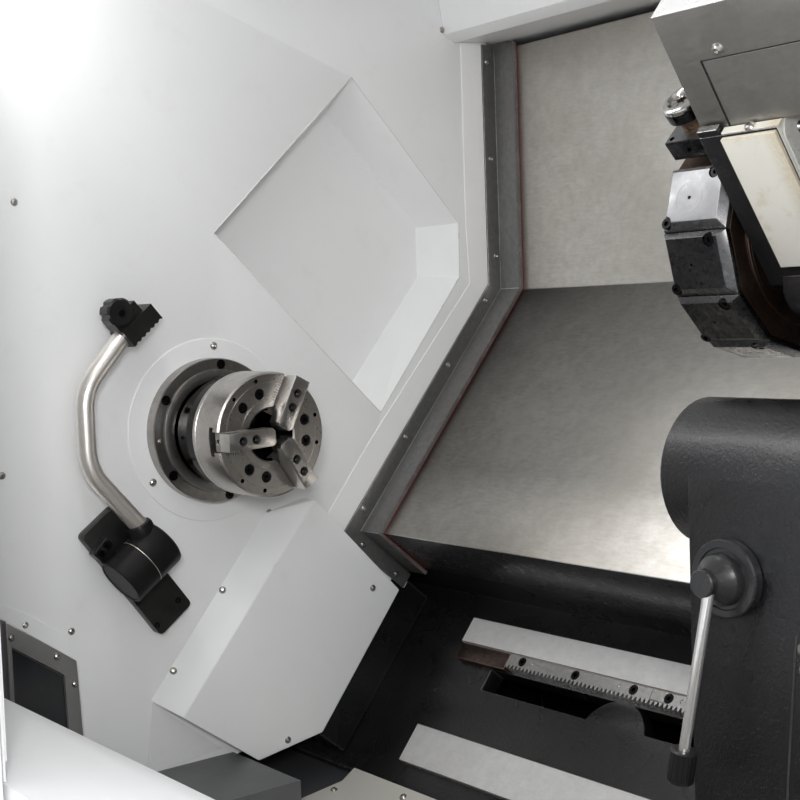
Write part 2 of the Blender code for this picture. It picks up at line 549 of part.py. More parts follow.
combine(arm, "DIFFERENCE", prism([tuple(hd + (p - hd) * 1.01) for p in shape], ARM_X - 24.3, ARM_X + 26.3))

# Sliding door, open at rest, with its window and handle
door_axis = pivot("door_axis", (0, -705, 200))
D0 = -345.0
door = place("door_panel", block((D0, -714, OPEN_Z0 - 17), (D0 + 1058, -696, OPEN_Z1 + 17)), WHITE, (0, -705, 200),
             door_axis)
combine(door, "DIFFERENCE", block((D0 + 190, -730, -20), (D0 + 900, -680, 560)))
place("door_window", block((D0 + 190 + GAP, -708, -20 + GAP), (D0 + 900 - GAP, -702, 560 - GAP)),
      ((0.5, 0.6, 0.6), 0.05), (0, -705, 200), door_axis)
grip = place("door_handle", block((D0 + 955, -750, 60), (D0 + 985, -714 - GAP, 420)), DARK, (0, -705, 200), door_axis)
combine(grip, "DIFFERENCE", block((D0 + 900, -734, 90), (D0 + 1050, -700, 390)))

# Control panel with screen, keypad, stop, start and emergency buttons and the handwheel
panel = place("control_panel", block((1790, -732, 60), (2090, Y_FRONT - GAP, 610)), GREY, (1940, -700, 335))
combine(panel, "DIFFERENCE", block((1825, -740, 380), (2055, -726, 560)),
        *[rod((x, -760, z), (x, -704, z), r, 24) for x, z, r in ((1840, 130, 13), (1890, 130, 9), (1935, 130, 9),
                                                                  (2020, 150, 8))])
place("screen", block((1825 + GAP, -730, 380 + GAP), (2055 - GAP, -726 - GAP, 560 - GAP)), ((0.01, 0.012, 0.015), 0.08),
      (1940, -728, 470))
keys = block((1830, -735, 205), (2050, -732 - GAP, 350))
place("keypad", keys, DARK, (1940, -733, 280))


def button(name, x, z, r_stem, r_cap, colour):
    axis = pivot(name + "_axis", (x, -732, z))
    prof = [(-18, 0), (-18, r_stem), (5, r_stem), (5, r_cap), (13, r_cap), (15, r_cap - 2), (15, 0)]
    place(name, turned(prof, (x, -732, z), (0, -1, 0), 24), colour, (x, -732, z), axis, smooth=35)


button("estop_button", 1840, 130, 12.5, 20, ((0.6, 0.02, 0.02), 0.35))
button("start_button", 1890, 130, 8.5, 12, ((0.05, 0.4, 0.08), 0.35))
button("stop_button", 1935, 130, 8.5, 12, ((0.55, 0.03, 0.03), 0.35))
wheel_axis = pivot("wheel_axis", (2020, -732, 150))
wheel = place("handwheel", turned([(-18, 0), (-18, 7.5), (4, 7.5), (4, 38), (6, 40), (14, 40), (16, 38), (16, 0)],
              (2020, -732, 150), (0, -1, 0), 40), BLACK, (2020, -732, 150), wheel_axis, smooth=35)
combine(wheel, "UNION", rod((2020, -746, 178), (2020, -772, 178), 6, 16))

# Chip drawer under the chute
draw = pivot("drawer_axis", (X_MID, -640, -840))
tray = place("chip_tray", block((62, -662, -962), (1733, 240, -725)), GREY, (X_MID, -640, -840), draw)
combine(tray, "DIFFERENCE", block((66, -642, -958), (1729, 236, -600)),)
combine(tray, "UNION", block((800, -680, -800), (996, -660, -780)))

# Electrical cabinet door on the right end, hinged at its back edge
leaf_axis = pivot("cabinet_axis", (X_RIGHT + 10, 676, 40))
leaf = place("cabinet_door", block((X_RIGHT + GAP, -396, -576), (X_RIGHT + 18, 676, 656)), WHITE,
             (X_RIGHT + 10, 676, 40), leaf_axis)
combine(leaf, "UNION", block((X_RIGHT + 16, -370, 0), (X_RIGHT + 30, -345, 120)))
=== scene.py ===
import json
from math import atan2, cos, hypot, pi, radians, sin
import bpy
from mathutils import Matrix, Vector

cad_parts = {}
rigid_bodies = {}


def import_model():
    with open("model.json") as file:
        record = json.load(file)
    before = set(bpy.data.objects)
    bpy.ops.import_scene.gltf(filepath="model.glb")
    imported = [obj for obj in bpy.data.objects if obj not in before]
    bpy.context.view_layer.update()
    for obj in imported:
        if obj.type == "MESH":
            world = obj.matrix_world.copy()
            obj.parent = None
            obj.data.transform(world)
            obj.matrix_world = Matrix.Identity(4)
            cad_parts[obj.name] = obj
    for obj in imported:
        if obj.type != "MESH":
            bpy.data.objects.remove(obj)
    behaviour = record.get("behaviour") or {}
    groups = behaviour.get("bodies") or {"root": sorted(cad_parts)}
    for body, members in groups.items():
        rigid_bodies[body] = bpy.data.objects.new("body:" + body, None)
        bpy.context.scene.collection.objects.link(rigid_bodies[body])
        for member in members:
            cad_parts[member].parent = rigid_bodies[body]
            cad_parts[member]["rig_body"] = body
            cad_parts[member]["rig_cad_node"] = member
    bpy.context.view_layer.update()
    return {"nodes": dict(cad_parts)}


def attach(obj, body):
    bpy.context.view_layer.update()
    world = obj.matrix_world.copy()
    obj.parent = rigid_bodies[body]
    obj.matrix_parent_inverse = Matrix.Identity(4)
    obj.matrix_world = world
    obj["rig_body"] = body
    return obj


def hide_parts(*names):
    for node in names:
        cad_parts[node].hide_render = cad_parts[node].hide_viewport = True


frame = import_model()
nodes = frame["nodes"]

# The view into the working area, the pale floor and the soft lamps.
# Lengths are written in millimetres from the point where the spindle axis meets the headstock wall:
# X runs to the tailstock, Y to the back, Z up. The bed's slant leans back by 50 degrees.
MIDDLE_X, MIDDLE_Y, AXIS_HEIGHT = 685, 94, 1050
X, Y, Z, FRONT = (1, 0, 0), (0, 1, 0), (0, 0, 1), (0, -1, 0)
SLANT = radians(50)
UP_SLANT = (0, cos(SLANT), sin(SLANT))


def at(x, y, z):
    """The frame's point in metres for a point in millimetres from the spindle axis at the wall."""
    return Vector(((x - MIDDLE_X) / 1000, (y - MIDDLE_Y) / 1000, (z + AXIS_HEIGHT) / 1000))


def spin(degrees, axis="X"):
    return Matrix.Rotation(radians(degrees), 4, axis)


def linked(ob):
    bpy.context.scene.collection.objects.link(ob)
    return ob


ORIGIN = at(0, 0, 0)
HOME = Matrix.Translation(ORIGIN)
eye = bpy.data.cameras.new("view")
eye.lens, eye.sensor_width, eye.clip_start, eye.clip_end = 62.0845, 36, 0.05, 60
view = linked(bpy.data.objects.new("view", eye))
view.matrix_world = Matrix(((0.62456467, -0.0248754, 0.78057683, 1.431821),
                            (0.78021998, 0.06375807, -0.62224729, -1.349317),
                            (-0.03428942, 0.99765531, 0.05922932, 1.235726), (0, 0, 0, 1)))
bpy.context.scene.camera = view
bpy.context.scene.view_settings.view_transform = "Standard"


def feed(tree, n, feeds):
    """Sets a node's sockets, each to a value, to another node's main output or to a named output."""
    for k, v in feeds.items():
        if isinstance(v, bpy.types.Node):
            v = v.outputs[2 if getattr(v, "data_type", "") == "RGBA" else 0]
        if isinstance(v, bpy.types.NodeSocket):
            tree.links.new(v, n.inputs[k])
        else:
            n.inputs[k].default_value = v


def wire(tree, kind, feeds=None, **settings):
    """Adds one shader node."""
    n = tree.nodes.new("ShaderNode" + kind)
    for k, v in settings.items():
        setattr(n, k, v)
    feed(tree, n, feeds or {})
    return n


def blank(name):
    """A new material with its node tree and its surface shader."""
    m = bpy.data.materials.new(name)
    m.use_nodes = True
    return m, m.node_tree, m.node_tree.nodes["Principled BSDF"]


def only(*obs):
    """Selects these objects and nothing else."""
    bpy.ops.object.select_all(action="DESELECT")
    for ob in obs:
        ob.select_set(True)
    if obs:
        bpy.context.view_layer.objects.active = obs[0]


def mode(name):
    bpy.ops.object.mode_set(mode=name)


only()
bpy.ops.mesh.primitive_plane_add(size=16, location=(0, 0, 0))
ground = bpy.context.object
ground.name = "studio_floor"
mode("EDIT")
bpy.ops.mesh.subdivide(number_cuts=3)
mode("OBJECT")
floor_mat, tree, shader = blank("studio_floor")
feed(tree, shader, {"Base Color": (0.8, 0.8, 0.79, 1), "Roughness": 0.7})
ground.data.materials.append(floor_mat)

world = bpy.data.worlds.new("studio")
bpy.context.scene.world = world
world.use_nodes = True
wt = world.node_tree
rays = wire(wt, "LightPath")
seen = wire(wt, "Math", {0: rays.outputs["Is Camera Ray"], 1: rays.outputs["Is Transmission Ray"]}, operation="MAXIMUM")
power = wire(wt, "MapRange", {0: seen, 3: 0.85, 4: 0.95})
feed(wt, wt.nodes["Background"], {"Color": (0.93, 0.95, 1, 1), "Strength": power})

for name, spot, aim, size, watts in (("near_view", at(2200, -1350, 420), at(200, 100, 0), (0.3, 0.3), 20),
                                     ("tube", at(400, -535, 858), at(400, 60, 0), (0.9, 0.13), 2.1),
                                     ("strip", at(1130, -640, 531), at(1400, -60, 30), (0.74, 0.03), 2.4),
                                     ("top_left", at(120, -480, 860), at(100, 200, 0), (0.5, 0.12), 0.65),
                                     ("left", at(-1400, -3200, 1300), at(0, -300, 0), (2.0, 2.0), 6),
                                     ("rear", at(1500, 3600, 1800), at(600, 300, 0), (2.4, 2.4), 8)):
    lamp = bpy.data.lights.new(name, "AREA")
    lamp.shape = "RECTANGLE"
    lamp.size, lamp.size_y, lamp.energy = *size, watts
    ob = linked(bpy.data.objects.new("lamp_" + name, lamp))
    ob.matrix_world = Matrix.Translation(spot) @ (aim - spot).to_track_quat("-Z", "Y").to_matrix().to_4x4()


# White sheet-metal enclosure: folded and powder-coated steel sheets, welded into a left cabinet over
# the headstock, a right cabinet with the electrics, a roof, a back and the walls of the working area.
def group(name, takes, gives):
    g = bpy.data.node_groups.new(name, "ShaderNodeTree")
    for label, kind, value in takes:
        g.interface.new_socket(label, in_out="INPUT", socket_type="NodeSocket" + kind).default_value = value
    for label, kind in gives:
        g.interface.new_socket(label, in_out="OUTPUT", socket_type="NodeSocket" + kind)
    return g, g.nodes.new("NodeGroupInput"), g.nodes.new("NodeGroupOutput")


# Shared effect: uneven tone, smears of grime and the fine orange peel of sprayed paint
paint_skin, gi, go = group("paint_skin", [("Size", "Float", 1.0), ("Grime", "Float", 0.3)],
                           [("Tone", "Float"), ("Grime", "Float"), ("Peel", "Float")])
spots = wire(paint_skin, "TexCoord").outputs["Object"]
size3 = wire(paint_skin, "VectorMath", {0: spots, "Scale": gi.outputs["Size"]}, operation="SCALE").outputs[0]
tone = wire(paint_skin, "TexNoise", {"Vector": size3, "Scale": 2.6, "Detail": 5, "Roughness": 0.6})
smear = wire(paint_skin, "TexNoise", {"Vector": size3, "Scale": 17, "Detail": 8, "Roughness": 0.68, "Distortion": 0.4})
dots = wire(paint_skin, "TexVoronoi", {"Vector": size3, "Scale": 46, "Randomness": 1.0})
ring = wire(paint_skin, "MapRange", {0: smear, 1: 0.56, 2: 0.75})
dot = wire(paint_skin, "MapRange", {0: dots.outputs["Distance"], 1: 0.1, 2: 0.06})
few = wire(paint_skin, "MapRange", {0: tone, 1: 0.5, 2: 0.62})
dotted = wire(paint_skin, "Math", {0: dot, 1: few}, operation="MULTIPLY")
both = wire(paint_skin, "Math", {0: ring, 1: dotted}, operation="MAXIMUM")
amount = wire(paint_skin, "Math", {0: both, 1: gi.outputs["Grime"]}, operation="MULTIPLY")
peel = wire(paint_skin, "TexNoise", {"Vector": spots, "Scale": 420, "Detail": 2})
feed(paint_skin, go, {"Tone": tone, "Grime": amount, "Peel": peel})


def painted(name, light, dark, grime, rough=0.42, dirt=0.3, size=1.0, bump=0.04):
    """Sprayed paint: two close tones, a grime colour and the orange peel."""
    m, t, b = blank(name)
    skin = wire(t, "Group", node_tree=paint_skin)
    feed(t, skin, {"Size": size, "Grime": dirt})
    far = wire(t, "MapRange", {0: skin.outputs["Tone"], 1: 0.35, 2: 0.65})
    base = wire(t, "Mix", {0: far, 6: (*light, 1), 7: (*dark, 1)}, data_type="RGBA")
    dirty = wire(t, "Mix", {0: skin.outputs["Grime"], 6: base, 7: (*grime, 1)}, data_type="RGBA")
    gloss = wire(t, "MapRange", {0: skin.outputs["Tone"], 1: 0.3, 2: 0.7, 3: rough - 0.05, 4: rough + 0.07})
    bumpy = wire(t, "Bump", {"Height": skin.outputs["Peel"], "Strength": bump, "Distance": 0.001})
    feed(t, b, {"Base Color": dirty, "Roughness": gloss, "Normal": bumpy})
    return m


white = painted("white_coat", (0.9, 0.905, 0.905), (0.875, 0.88, 0.88), (0.6, 0.58, 0.54), 0.42, 0.1)
white_edge = painted("white_coat_edge", (0.93, 0.93, 0.93), (0.88, 0.88, 0.88), (0.5, 0.47, 0.43), 0.36, 0.5)


def use(ob, kind, **settings):
    """Adds a modifier and applies it."""
    only(ob)
    mod = ob.modifiers.new(kind.lower(), kind)
    for k, v in settings.items():
        setattr(mod, k, v)
    bpy.ops.object.modifier_apply(modifier=mod.name)


def eased(ob, radius, segments=2, mat=-1, **limit):
    """Rounds a piece's sharp edges by this radius in millimetres."""
    use(ob, "BEVEL", width=radius / 1000, segments=segments, limit_method="ANGLE", material=mat, **limit)


def fuse(ob, other):
    """Makes another shape part of a piece."""
    use(ob, "BOOLEAN", object=other, operation="UNION", solver="EXACT")
    bpy.data.objects.remove(other, do_unlink=True)


def shade(ob, degrees):
    only(ob)
    bpy.ops.object.shade_smooth_by_angle(angle=radians(degrees))


def settled(ob, here):
    """Sets a piece by a matrix, which is then applied."""
    ob.matrix_world = here
    only(ob)
    bpy.ops.object.transform_apply(location=True, rotation=True, scale=True)
    return ob


def facing(spot, way):
    """A frame at a point with its Z along a direction."""
    return Matrix.Translation(spot) @ Vector(way).to_track_quat("Z", "Y").to_matrix().to_4x4()


def twin(node, name):
    """A copy of a CAD node's mesh as a piece of its own."""
    ob = linked(nodes[node].copy())
    ob.data = ob.data.copy()
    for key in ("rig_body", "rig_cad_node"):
        if key in ob:
            del ob[key]
    ob.name, ob.parent = name, None
    return ob


def softened(node, radius, mat, edge=None, body="machine", angle=35, segments=2):
    """Stands in for a pressed, folded or cast piece with its edges rounded and finished."""
    ob = twin(node, node + "_finished")
    ob.data.materials.clear()
    ob.data.materials.append(mat)
    ob.data.materials.append(edge or mat)
    only(ob)
    mode("EDIT")
    bpy.ops.mesh.select_all(action="SELECT")
    bpy.ops.mesh.customdata_custom_splitnormals_clear()
    bpy.ops.mesh.remove_doubles(threshold=0.00002)
    bpy.ops.mesh.dissolve_limited(angle_limit=radians(0.8))
    mode("OBJECT")
    eased(ob, radius, segments, 1, angle_limit=radians(angle))
    shade(ob, angle)
    use(ob, "TRIANGULATE", min_vertices=5)
    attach(ob, body)
    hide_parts(node)
    return ob


for node, radius in (("left_cabinet", 5), ("right_cabinet", 5), ("roof_back_panel", 1.4), ("tail_wall", 1),
                     ("front_sill", 1.2), ("door_header", 1.2), ("canopy", 1.2), ("left_return", 1),
                     ("headstock_wall", 0.9), ("wall_lower_cover", 2.5)):
    softened(node, radius, white, white_edge)


# Base and bed: welded base box, and a bed cast in grey iron and sprayed with rough, shiny black paint.
# The paint shows the sand of the mould, and it's dulled by coolant in patches.
cast_skin, gi, go = group("cast_skin", [("Size", "Float", 1.0)],
                          [("Sand", "Float"), ("Film", "Float"), ("Glint", "Float")])
spots = wire(cast_skin, "TexCoord").outputs["Object"]
size3 = wire(cast_skin, "VectorMath", {0: spots, "Scale": gi.outputs["Size"]}, operation="SCALE").outputs[0]
sand = wire(cast_skin, "TexNoise", {"Vector": size3, "Scale": 210, "Detail": 5, "Roughness": 0.62})
film = wire(cast_skin, "TexNoise", {"Vector": size3, "Scale": 7, "Detail": 7, "Roughness": 0.62, "Distortion": 0.5})
# Small grit cells become pale specks of colour: painted glints
grit = wire(cast_skin, "TexVoronoi", {"Vector": size3, "Scale": 260})
glint = wire(cast_skin, "MapRange", {0: grit.outputs["Distance"], 1: 0.16, 2: 0.05})
thin = wire(cast_skin, "MapRange", {0: film, 1: 0.5, 2: 0.66})
spark = wire(cast_skin, "Math", {0: glint, 1: thin}, operation="MULTIPLY")
feed(cast_skin, go, {"Sand": sand, "Film": film, "Glint": spark})


def cast(name, deep, worn, glint, rough=0.32, bump=0.5, size=1.0, shine=0.5):
    """Paint on a rough casting: sand under it, a dull film in patches and small pale specks of painted glint."""
    m, t, b = blank(name)
    skin = wire(t, "Group", node_tree=cast_skin)
    feed(t, skin, {"Size": size})
    film = wire(t, "MapRange", {0: skin.outputs["Film"], 1: 0.36, 2: 0.8})
    base = wire(t, "Mix", {0: film, 6: (*deep, 1), 7: (*worn, 1)}, data_type="RGBA")
    lit = wire(t, "Mix", {0: skin.outputs["Glint"], 6: base, 7: (*glint, 1)}, data_type="RGBA")
    gloss = wire(t, "MapRange", {0: film, 3: rough - 0.05, 4: rough + 0.1})
    bumpy = wire(t, "Bump", {"Height": skin.outputs["Sand"], "Strength": bump, "Distance": 0.0012})
    feed(t, b, {"Base Color": lit, "Roughness": gloss, "Normal": bumpy, "Coat Roughness": 0.25,
                "Coat Weight": 0.6 * shine, "Specular IOR Level": shine})
    return m


def overlay(mat, mask, colour, blend="MIX"):
    """Lays a colour over a material's base colour where the mask says."""
    t = mat.node_tree
    b = t.nodes["Principled BSDF"]
    plain = b.inputs["Base Color"].links[0].from_socket
    feed(t, b, {"Base Color": wire(t, "Mix", {0: mask, 6: plain, 7: colour}, data_type="RGBA", blend_type=blend)})


black_cast = cast("black_casting", (0.006, 0.006, 0.007), (0.012, 0.012, 0.013), (0.3, 0.3, 0.32), 0.3, 0.9)
black_edge = cast("black_casting_edge", (0.03, 0.03, 0.032), (0.07, 0.068, 0.065), (0.3, 0.29, 0.28), 0.3, 0.3)
base_grey = painted("base_grey", (0.085, 0.087, 0.092), (0.07, 0.072, 0.076), (0.16, 0.15, 0.14), 0.5, 0.4, 1.0, 0.12)
softened("machine_base", 4, base_grey)
softened("bed_casting", 3, black_cast, black_edge)
softened("headstock_casting", 4, black_cast, black_edge)
softened("saddle", 3, black_cast, black_edge, "carriage")
softened("cross_slide", 3, black_cast, black_edge, "cross_slide_body")
softened("tailstock_body", 3.5, black_cast, black_edge, "tailstock")


# Ground steel: tailstock ways, guides and gear rack, ground along their length, with thin oil stains
# and a rim of rust where the grinding ends.
metal_skin, gi, go = group("metal_skin", [("Stretch", "Vector", (1.0, 1.0, 1.0)), ("Size", "Float", 1.0)],
                           [("Grain", "Float"), ("Mottle", "Float"), ("Stain", "Float")])
spots = wire(metal_skin, "TexCoord").outputs["Object"]
drawn = wire(metal_skin, "VectorMath", {0: spots, 1: gi.outputs["Stretch"]}, operation="MULTIPLY").outputs[0]
size3 = wire(metal_skin, "VectorMath", {0: spots, "Scale": gi.outputs["Size"]}, operation="SCALE").outputs[0]
grain = wire(metal_skin, "TexNoise", {"Vector": drawn, "Scale": 60, "Detail": 6, "Roughness": 0.7})
mottle = wire(metal_skin, "TexNoise", {"Vector": size3, "Scale": 34, "Detail": 6, "Roughness": 0.66})
stain = wire(metal_skin, "TexNoise", {"Vector": size3, "Scale": 3.4, "Detail": 6, "Roughness": 0.58, "Distortion": 0.7})
feed(metal_skin, go, {"Grain": grain, "Mottle": mottle, "Stain": stain})


def metal(name, light, dark, stain, rough, stretch=(1, 1, 1), size=1.0, spread=0.1, bump=0.05, stained=0.35,
          metallic=1.0):
    """Bare metal: brushed or ground grain, mottling and stains."""
    m, t, b = blank(name)
    skin = wire(t, "Group", node_tree=metal_skin)
    feed(t, skin, {"Stretch": stretch, "Size": size})
    mix = wire(t, "Math", {0: skin.outputs["Grain"], 1: skin.outputs["Mottle"]}, operation="ADD")
    fine = wire(t, "MapRange", {0: mix, 1: 0.75, 2: 1.25})
    base = wire(t, "Mix", {0: fine, 6: (*dark, 1), 7: (*light, 1)}, data_type="RGBA")
    old = wire(t, "MapRange", {0: skin.outputs["Stain"], 1: 0.48, 2: 0.72, 4: stained})
    worn = wire(t, "Mix", {0: old, 6: base, 7: (*stain, 1)}, data_type="RGBA")
    gloss = wire(t, "MapRange", {0: mix, 1: 0.7, 2: 1.3, 3: rough + spread, 4: rough - spread})
    bumpy = wire(t, "Bump", {"Height": skin.outputs["Grain"], "Strength": bump, "Distance": 0.0005})
    feed(t, b, {"Base Color": worn, "Roughness": gloss, "Normal": bumpy, "Metallic": metallic})
    return m


way_ground = metal("ground_bed_way", (0.8, 0.795, 0.79), (0.68, 0.675, 0.67), (0.56, 0.54, 0.52), 0.4, (1, 14, 14), 1.6,
                   0.08, 0.05, 0.35, 0.2)
ground_steel = metal("ground_way", (0.6, 0.595, 0.59), (0.47, 0.465, 0.46), (0.4, 0.39, 0.38), 0.4, (1, 14, 14), 1.6,
                     0.08, 0.05, 0.35, 0.45)
rust_edge = metal("rusty_way_edge", (0.42, 0.3, 0.24), (0.2, 0.12, 0.09), (0.12, 0.06, 0.04), 0.55, (1, 6, 6), 2.0, 0.1,
                  0.2)
for node in ("way_upper", "way_lower", "guide_lower", "guide_upper"):
    softened(node, 1.2, way_ground, rust_edge)
rack_steel = metal("rack_steel", (0.66, 0.655, 0.65), (0.5, 0.49, 0.48), (0.4, 0.37, 0.34), 0.38, (10, 10, 1), 3.0,
                   0.08)
for slot in nodes["gear_rack"].material_slots:
    slot.material = rack_steel
oily_brown = metal("oily_brown_steel", (0.16, 0.12, 0.1), (0.07, 0.05, 0.045), (0.03, 0.025, 0.022), 0.35, (3, 3, 3),
                   2.0, 0.1, 0.3)
softened("rack_stop", 1.0, oily_brown, rust_edge)

# Way cover: one long brushed stainless sheet, folded from upright to slanted and turned in at its lip.
# It slides through the dark angle frame on the wall, which wipes it with a red strip.
stainless_edge = metal("stainless_fold", (0.68, 0.66, 0.63), (0.55, 0.53, 0.5), (0.5, 0.47, 0.44), 0.3, (1, 1, 1), 2.0,
                       0.06)
painted_shade_metal = metal("painted_shade_steel", (0.07, 0.07, 0.075), (0.04, 0.04, 0.043), (0.03, 0.03, 0.03), 0.3, (1, 3, 3), 1.0, 0.08,
                 0.06, 0.4, 0.5)
way_steel = metal("brushed_way_sheet", (0.56, 0.54, 0.505), (0.45, 0.43, 0.4), (0.4, 0.375, 0.34), 0.4, (0.8, 3.2, 3.2),
                  1.0, 0.09, 0.06, 0.5)
tree = way_steel.node_tree
# Up the slant in metres, painted light and shade: bright at the lip, darker and darker up to the fold, bright above it;
# on the slant it also grows brighter along X, above the fold it takes one flat gain
spots = wire(tree, "TexCoord").outputs["Object"]
rise = wire(tree, "VectorMath", {0: spots, 1: UP_SLANT}, operation="DOT_PRODUCT").outputs["Value"]
up = wire(tree, "Math", {0: rise, 1: ORIGIN.dot(Vector(UP_SLANT))}, operation="SUBTRACT")
slant_shade_ramp = wire(tree, "ValToRGB", {0: up})
FOLD_UP = 0.638
stops = ((0.04, 0.85), (0.109, 0.74), (0.205, 0.45), (0.327, 0.46), (0.476, 0.34), (0.637, 0.28), (0.64, 0.77),
         (0.99, 0.8))
for k, (where, v) in enumerate(stops):
    stop = slant_shade_ramp.color_ramp.elements[k] if k < 2 else slant_shade_ramp.color_ramp.elements.new(where)
    stop.position, stop.color = where, (v, v, v, 1)
slanted = wire(tree, "Math", {0: up, 1: FOLD_UP}, operation="LESS_THAN")
away = wire(tree, "SeparateXYZ", {0: spots}).outputs["X"]
side = wire(tree, "MapRange", {0: away, 1: at(150, 0, 0).x, 2: at(900, 0, 0).x, 3: 0.96, 4: 2.8})
part = wire(tree, "Mix", {0: slanted, 2: 1.6, 3: side})
gain = wire(tree, "VectorMath", {0: slant_shade_ramp.outputs["Color"], "Scale": part}, operation="SCALE").outputs[0]
overlay(way_steel, 1.0, gain, "MULTIPLY")
way_sheet = softened("way_cover", 1.3, way_steel, stainless_edge, "carriage")
way_sheet.data.materials.append(painted_shade_metal)
# The lip's faces that turn down to the front are coloured dark: a painted shade
for p in way_sheet.data.polygons:
    if p.normal.z < -0.6 and p.normal.y < -0.5:
        p.material_index = 2
frame_dark = metal("dark_frame_sheet", (0.19, 0.187, 0.183), (0.14, 0.14, 0.14), (0.16, 0.15, 0.14), 0.4, (2, 2, 2),
                   2.0, 0.08, 0.1, 0.4, 0.6)
# The dark frame's rounded edges are coloured pale: a painted highlight
frame_edge_highlight = metal("frame_edge_painted_highlight", (0.6, 0.58, 0.56), (0.4, 0.39, 0.38), (0.2, 0.17, 0.15), 0.35, (2, 2, 2), 2.0,
                   0.08)
softened("way_frame", 1.0, frame_dark, frame_edge_highlight)
red_strip = painted("red_wiper", (0.13, 0.12, 0.115), (0.09, 0.085, 0.08), (0.3, 0.28, 0.26), 0.5, 0.9, 8)
# Only the strip's last millimetres, where it touches the sheet, are red; the rest is dark
tree = red_strip.node_tree
spots = wire(tree, "TexCoord").outputs["Object"]
tests = []
for way, reach in ((Y, 0.7119), ((0, sin(SLANT), -cos(SLANT)), 0.3929), (UP_SLANT, 0.0422)):
    line = wire(tree, "VectorMath", {0: spots, 1: way}, operation="DOT_PRODUCT").outputs["Value"]
    tests.append(wire(tree, "Math", {0: line, 1: ORIGIN.dot(Vector(way)) + reach}, operation="GREATER_THAN"))
both = wire(tree, "Math", {0: tests[1], 1: tests[2]}, operation="MINIMUM")
lip = wire(tree, "Math", {0: tests[0], 1: both}, operation="MAXIMUM")
overlay(red_strip, lip, (0.15, 0.018, 0.013, 1))
for slot in nodes["way_wiper"].material_slots:
    slot.material = red_strip

# Chip chute: painted steel sheet, a grey box against the wall and then a long cream floor that slopes up to
# the bed, screwed to both. The grey drawer below it slides out to the front with the chips.
chute_mat = painted("chute_paint", (0.13, 0.132, 0.136), (0.11, 0.112, 0.115), (0.07, 0.066, 0.062), 0.45, 0.35, 1.5)
ct = chute_mat.node_tree
own = wire(ct, "SeparateXYZ", {0: wire(ct, "TexCoord").outputs["Object"]})
past = wire(ct, "Math", {0: own.outputs["X"], 1: at(219, 0, 0).x}, operation="GREATER_THAN")
behind = wire(ct, "Math", {0: own.outputs["Y"], 1: at(0, 24, 0).y}, operation="GREATER_THAN")
cream_part = wire(ct, "Math", {0: past, 1: behind}, operation="MAXIMUM")
overlay(chute_mat, cream_part, (0.66, 0.64, 0.58, 1))
softened("chip_chute", 1.0, chute_mat)
tray_grey = painted("drawer_grey", (0.36, 0.365, 0.37), (0.32, 0.325, 0.33), (0.18, 0.17, 0.16), 0.45, 0.4)
softened("chip_tray", 1.5, tray_grey, body="drawer")


# Spindle nose, bearing cap and chuck: turned and ground steel. The cap is screwed on with six cap screws,
# and the chuck body has T slots for the base jaws, counterbored screws and turned rings on its face.
def turned(name, start, axis, steps, sides=64, loop=False):
    """A turned piece: its first ring is drawn on along the axis through (distance, radius) steps."""
    only()
    here, wide = steps[0]
    bpy.ops.mesh.primitive_circle_add(vertices=sides, radius=wide / 1000, fill_type="NOTHING" if loop else "NGON",
                                      location=(0, 0, here / 1000))
    ob = bpy.context.object
    ob.name = name
    mode("EDIT")
    bpy.ops.mesh.select_mode(type="VERT")
    bpy.ops.mesh.select_all(action="SELECT")
    for far, r in steps[1:] + ([steps[0]] if loop else []):
        bpy.ops.mesh.extrude_region_move(TRANSFORM_OT_translate={"value": (0, 0, (far - here) / 1000)})
        if abs(r - wide) > 1e-6:
            bpy.ops.transform.resize(value=(r / wide, r / wide, 1), center_override=(0, 0, far / 1000))
        here, wide = far, r
    bpy.ops.mesh.select_all(action="SELECT")
    bpy.ops.mesh.remove_doubles(threshold=0.000002)
    bpy.ops.mesh.normals_make_consistent(inside=False)
    mode("OBJECT")
    settled(ob, facing(start, axis) @ ob.matrix_world)
    shade(ob, 30)
    return ob


def joined(name, parts):
    only(*parts)
    bpy.ops.object.join()
    parts[0].name = name
    return parts[0]


def cut(ob, *cutters):
    """Cuts these shapes out of a piece; the shapes stay clear of each other."""
    shape = joined("cutter", list(cutters)) if len(cutters) > 1 else cutters[0]
    use(ob, "BOOLEAN", object=shape, operation="DIFFERENCE", solver="EXACT")
    bpy.data.objects.remove(shape, do_unlink=True)
    shade(ob, 25)


def finish(ob, body, slot, *mats, node=None):
    """Gives a piece its materials, its body and the CAD node that it stands in for."""
    ob.data.materials.clear()
    for m in mats:
        ob.data.materials.append(m)
    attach(ob, body)
    if node:
        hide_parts(node)
    return ob


def screw(name, r, high, socket, dome=0.0):
    """One screw head that stands on the floor point, pointing up, with a hexagon socket."""
    head = turned(name, (0, 0, 0), Z, [(-0.4, r), (high - dome - 0.1 * r, r), (high - dome, 0.93 * r)]
                  + ([(high - dome * 0.45, r * 0.78), (high, r * 0.45)] if dome else []), 20)
    cut(head, drill((0, 0, (high - 0.62 * high) / 1000), Z, socket, high, 6))
    return head


def copies(name, source, places, body, slot, mat):
    """Copies of one head, each set on a point along a direction, joined into one piece."""
    out = []
    for spot, way, big in places:
        ob = linked(source.copy())
        ob.data = source.data.copy()
        ob.matrix_world = facing(spot, way) @ Matrix.Scale(big, 4)
        out.append(ob)
    only(*out)
    bpy.ops.object.transform_apply(location=True, rotation=True, scale=True)
    return finish(joined(name, out), body, slot, mat)


def bright_screws(name, places, body="machine"):
    return copies(name, dome_head, places, body, "ground_steel", screw_bright)


def black_screws(name, places, body="machine"):
    return copies(name, cap_head, places, body, "dark_metal", screw_black)


def polar(x, r, degrees):
    """Point round the spindle's axis."""
    return at(x, r * cos(radians(degrees)), r * sin(radians(degrees)))


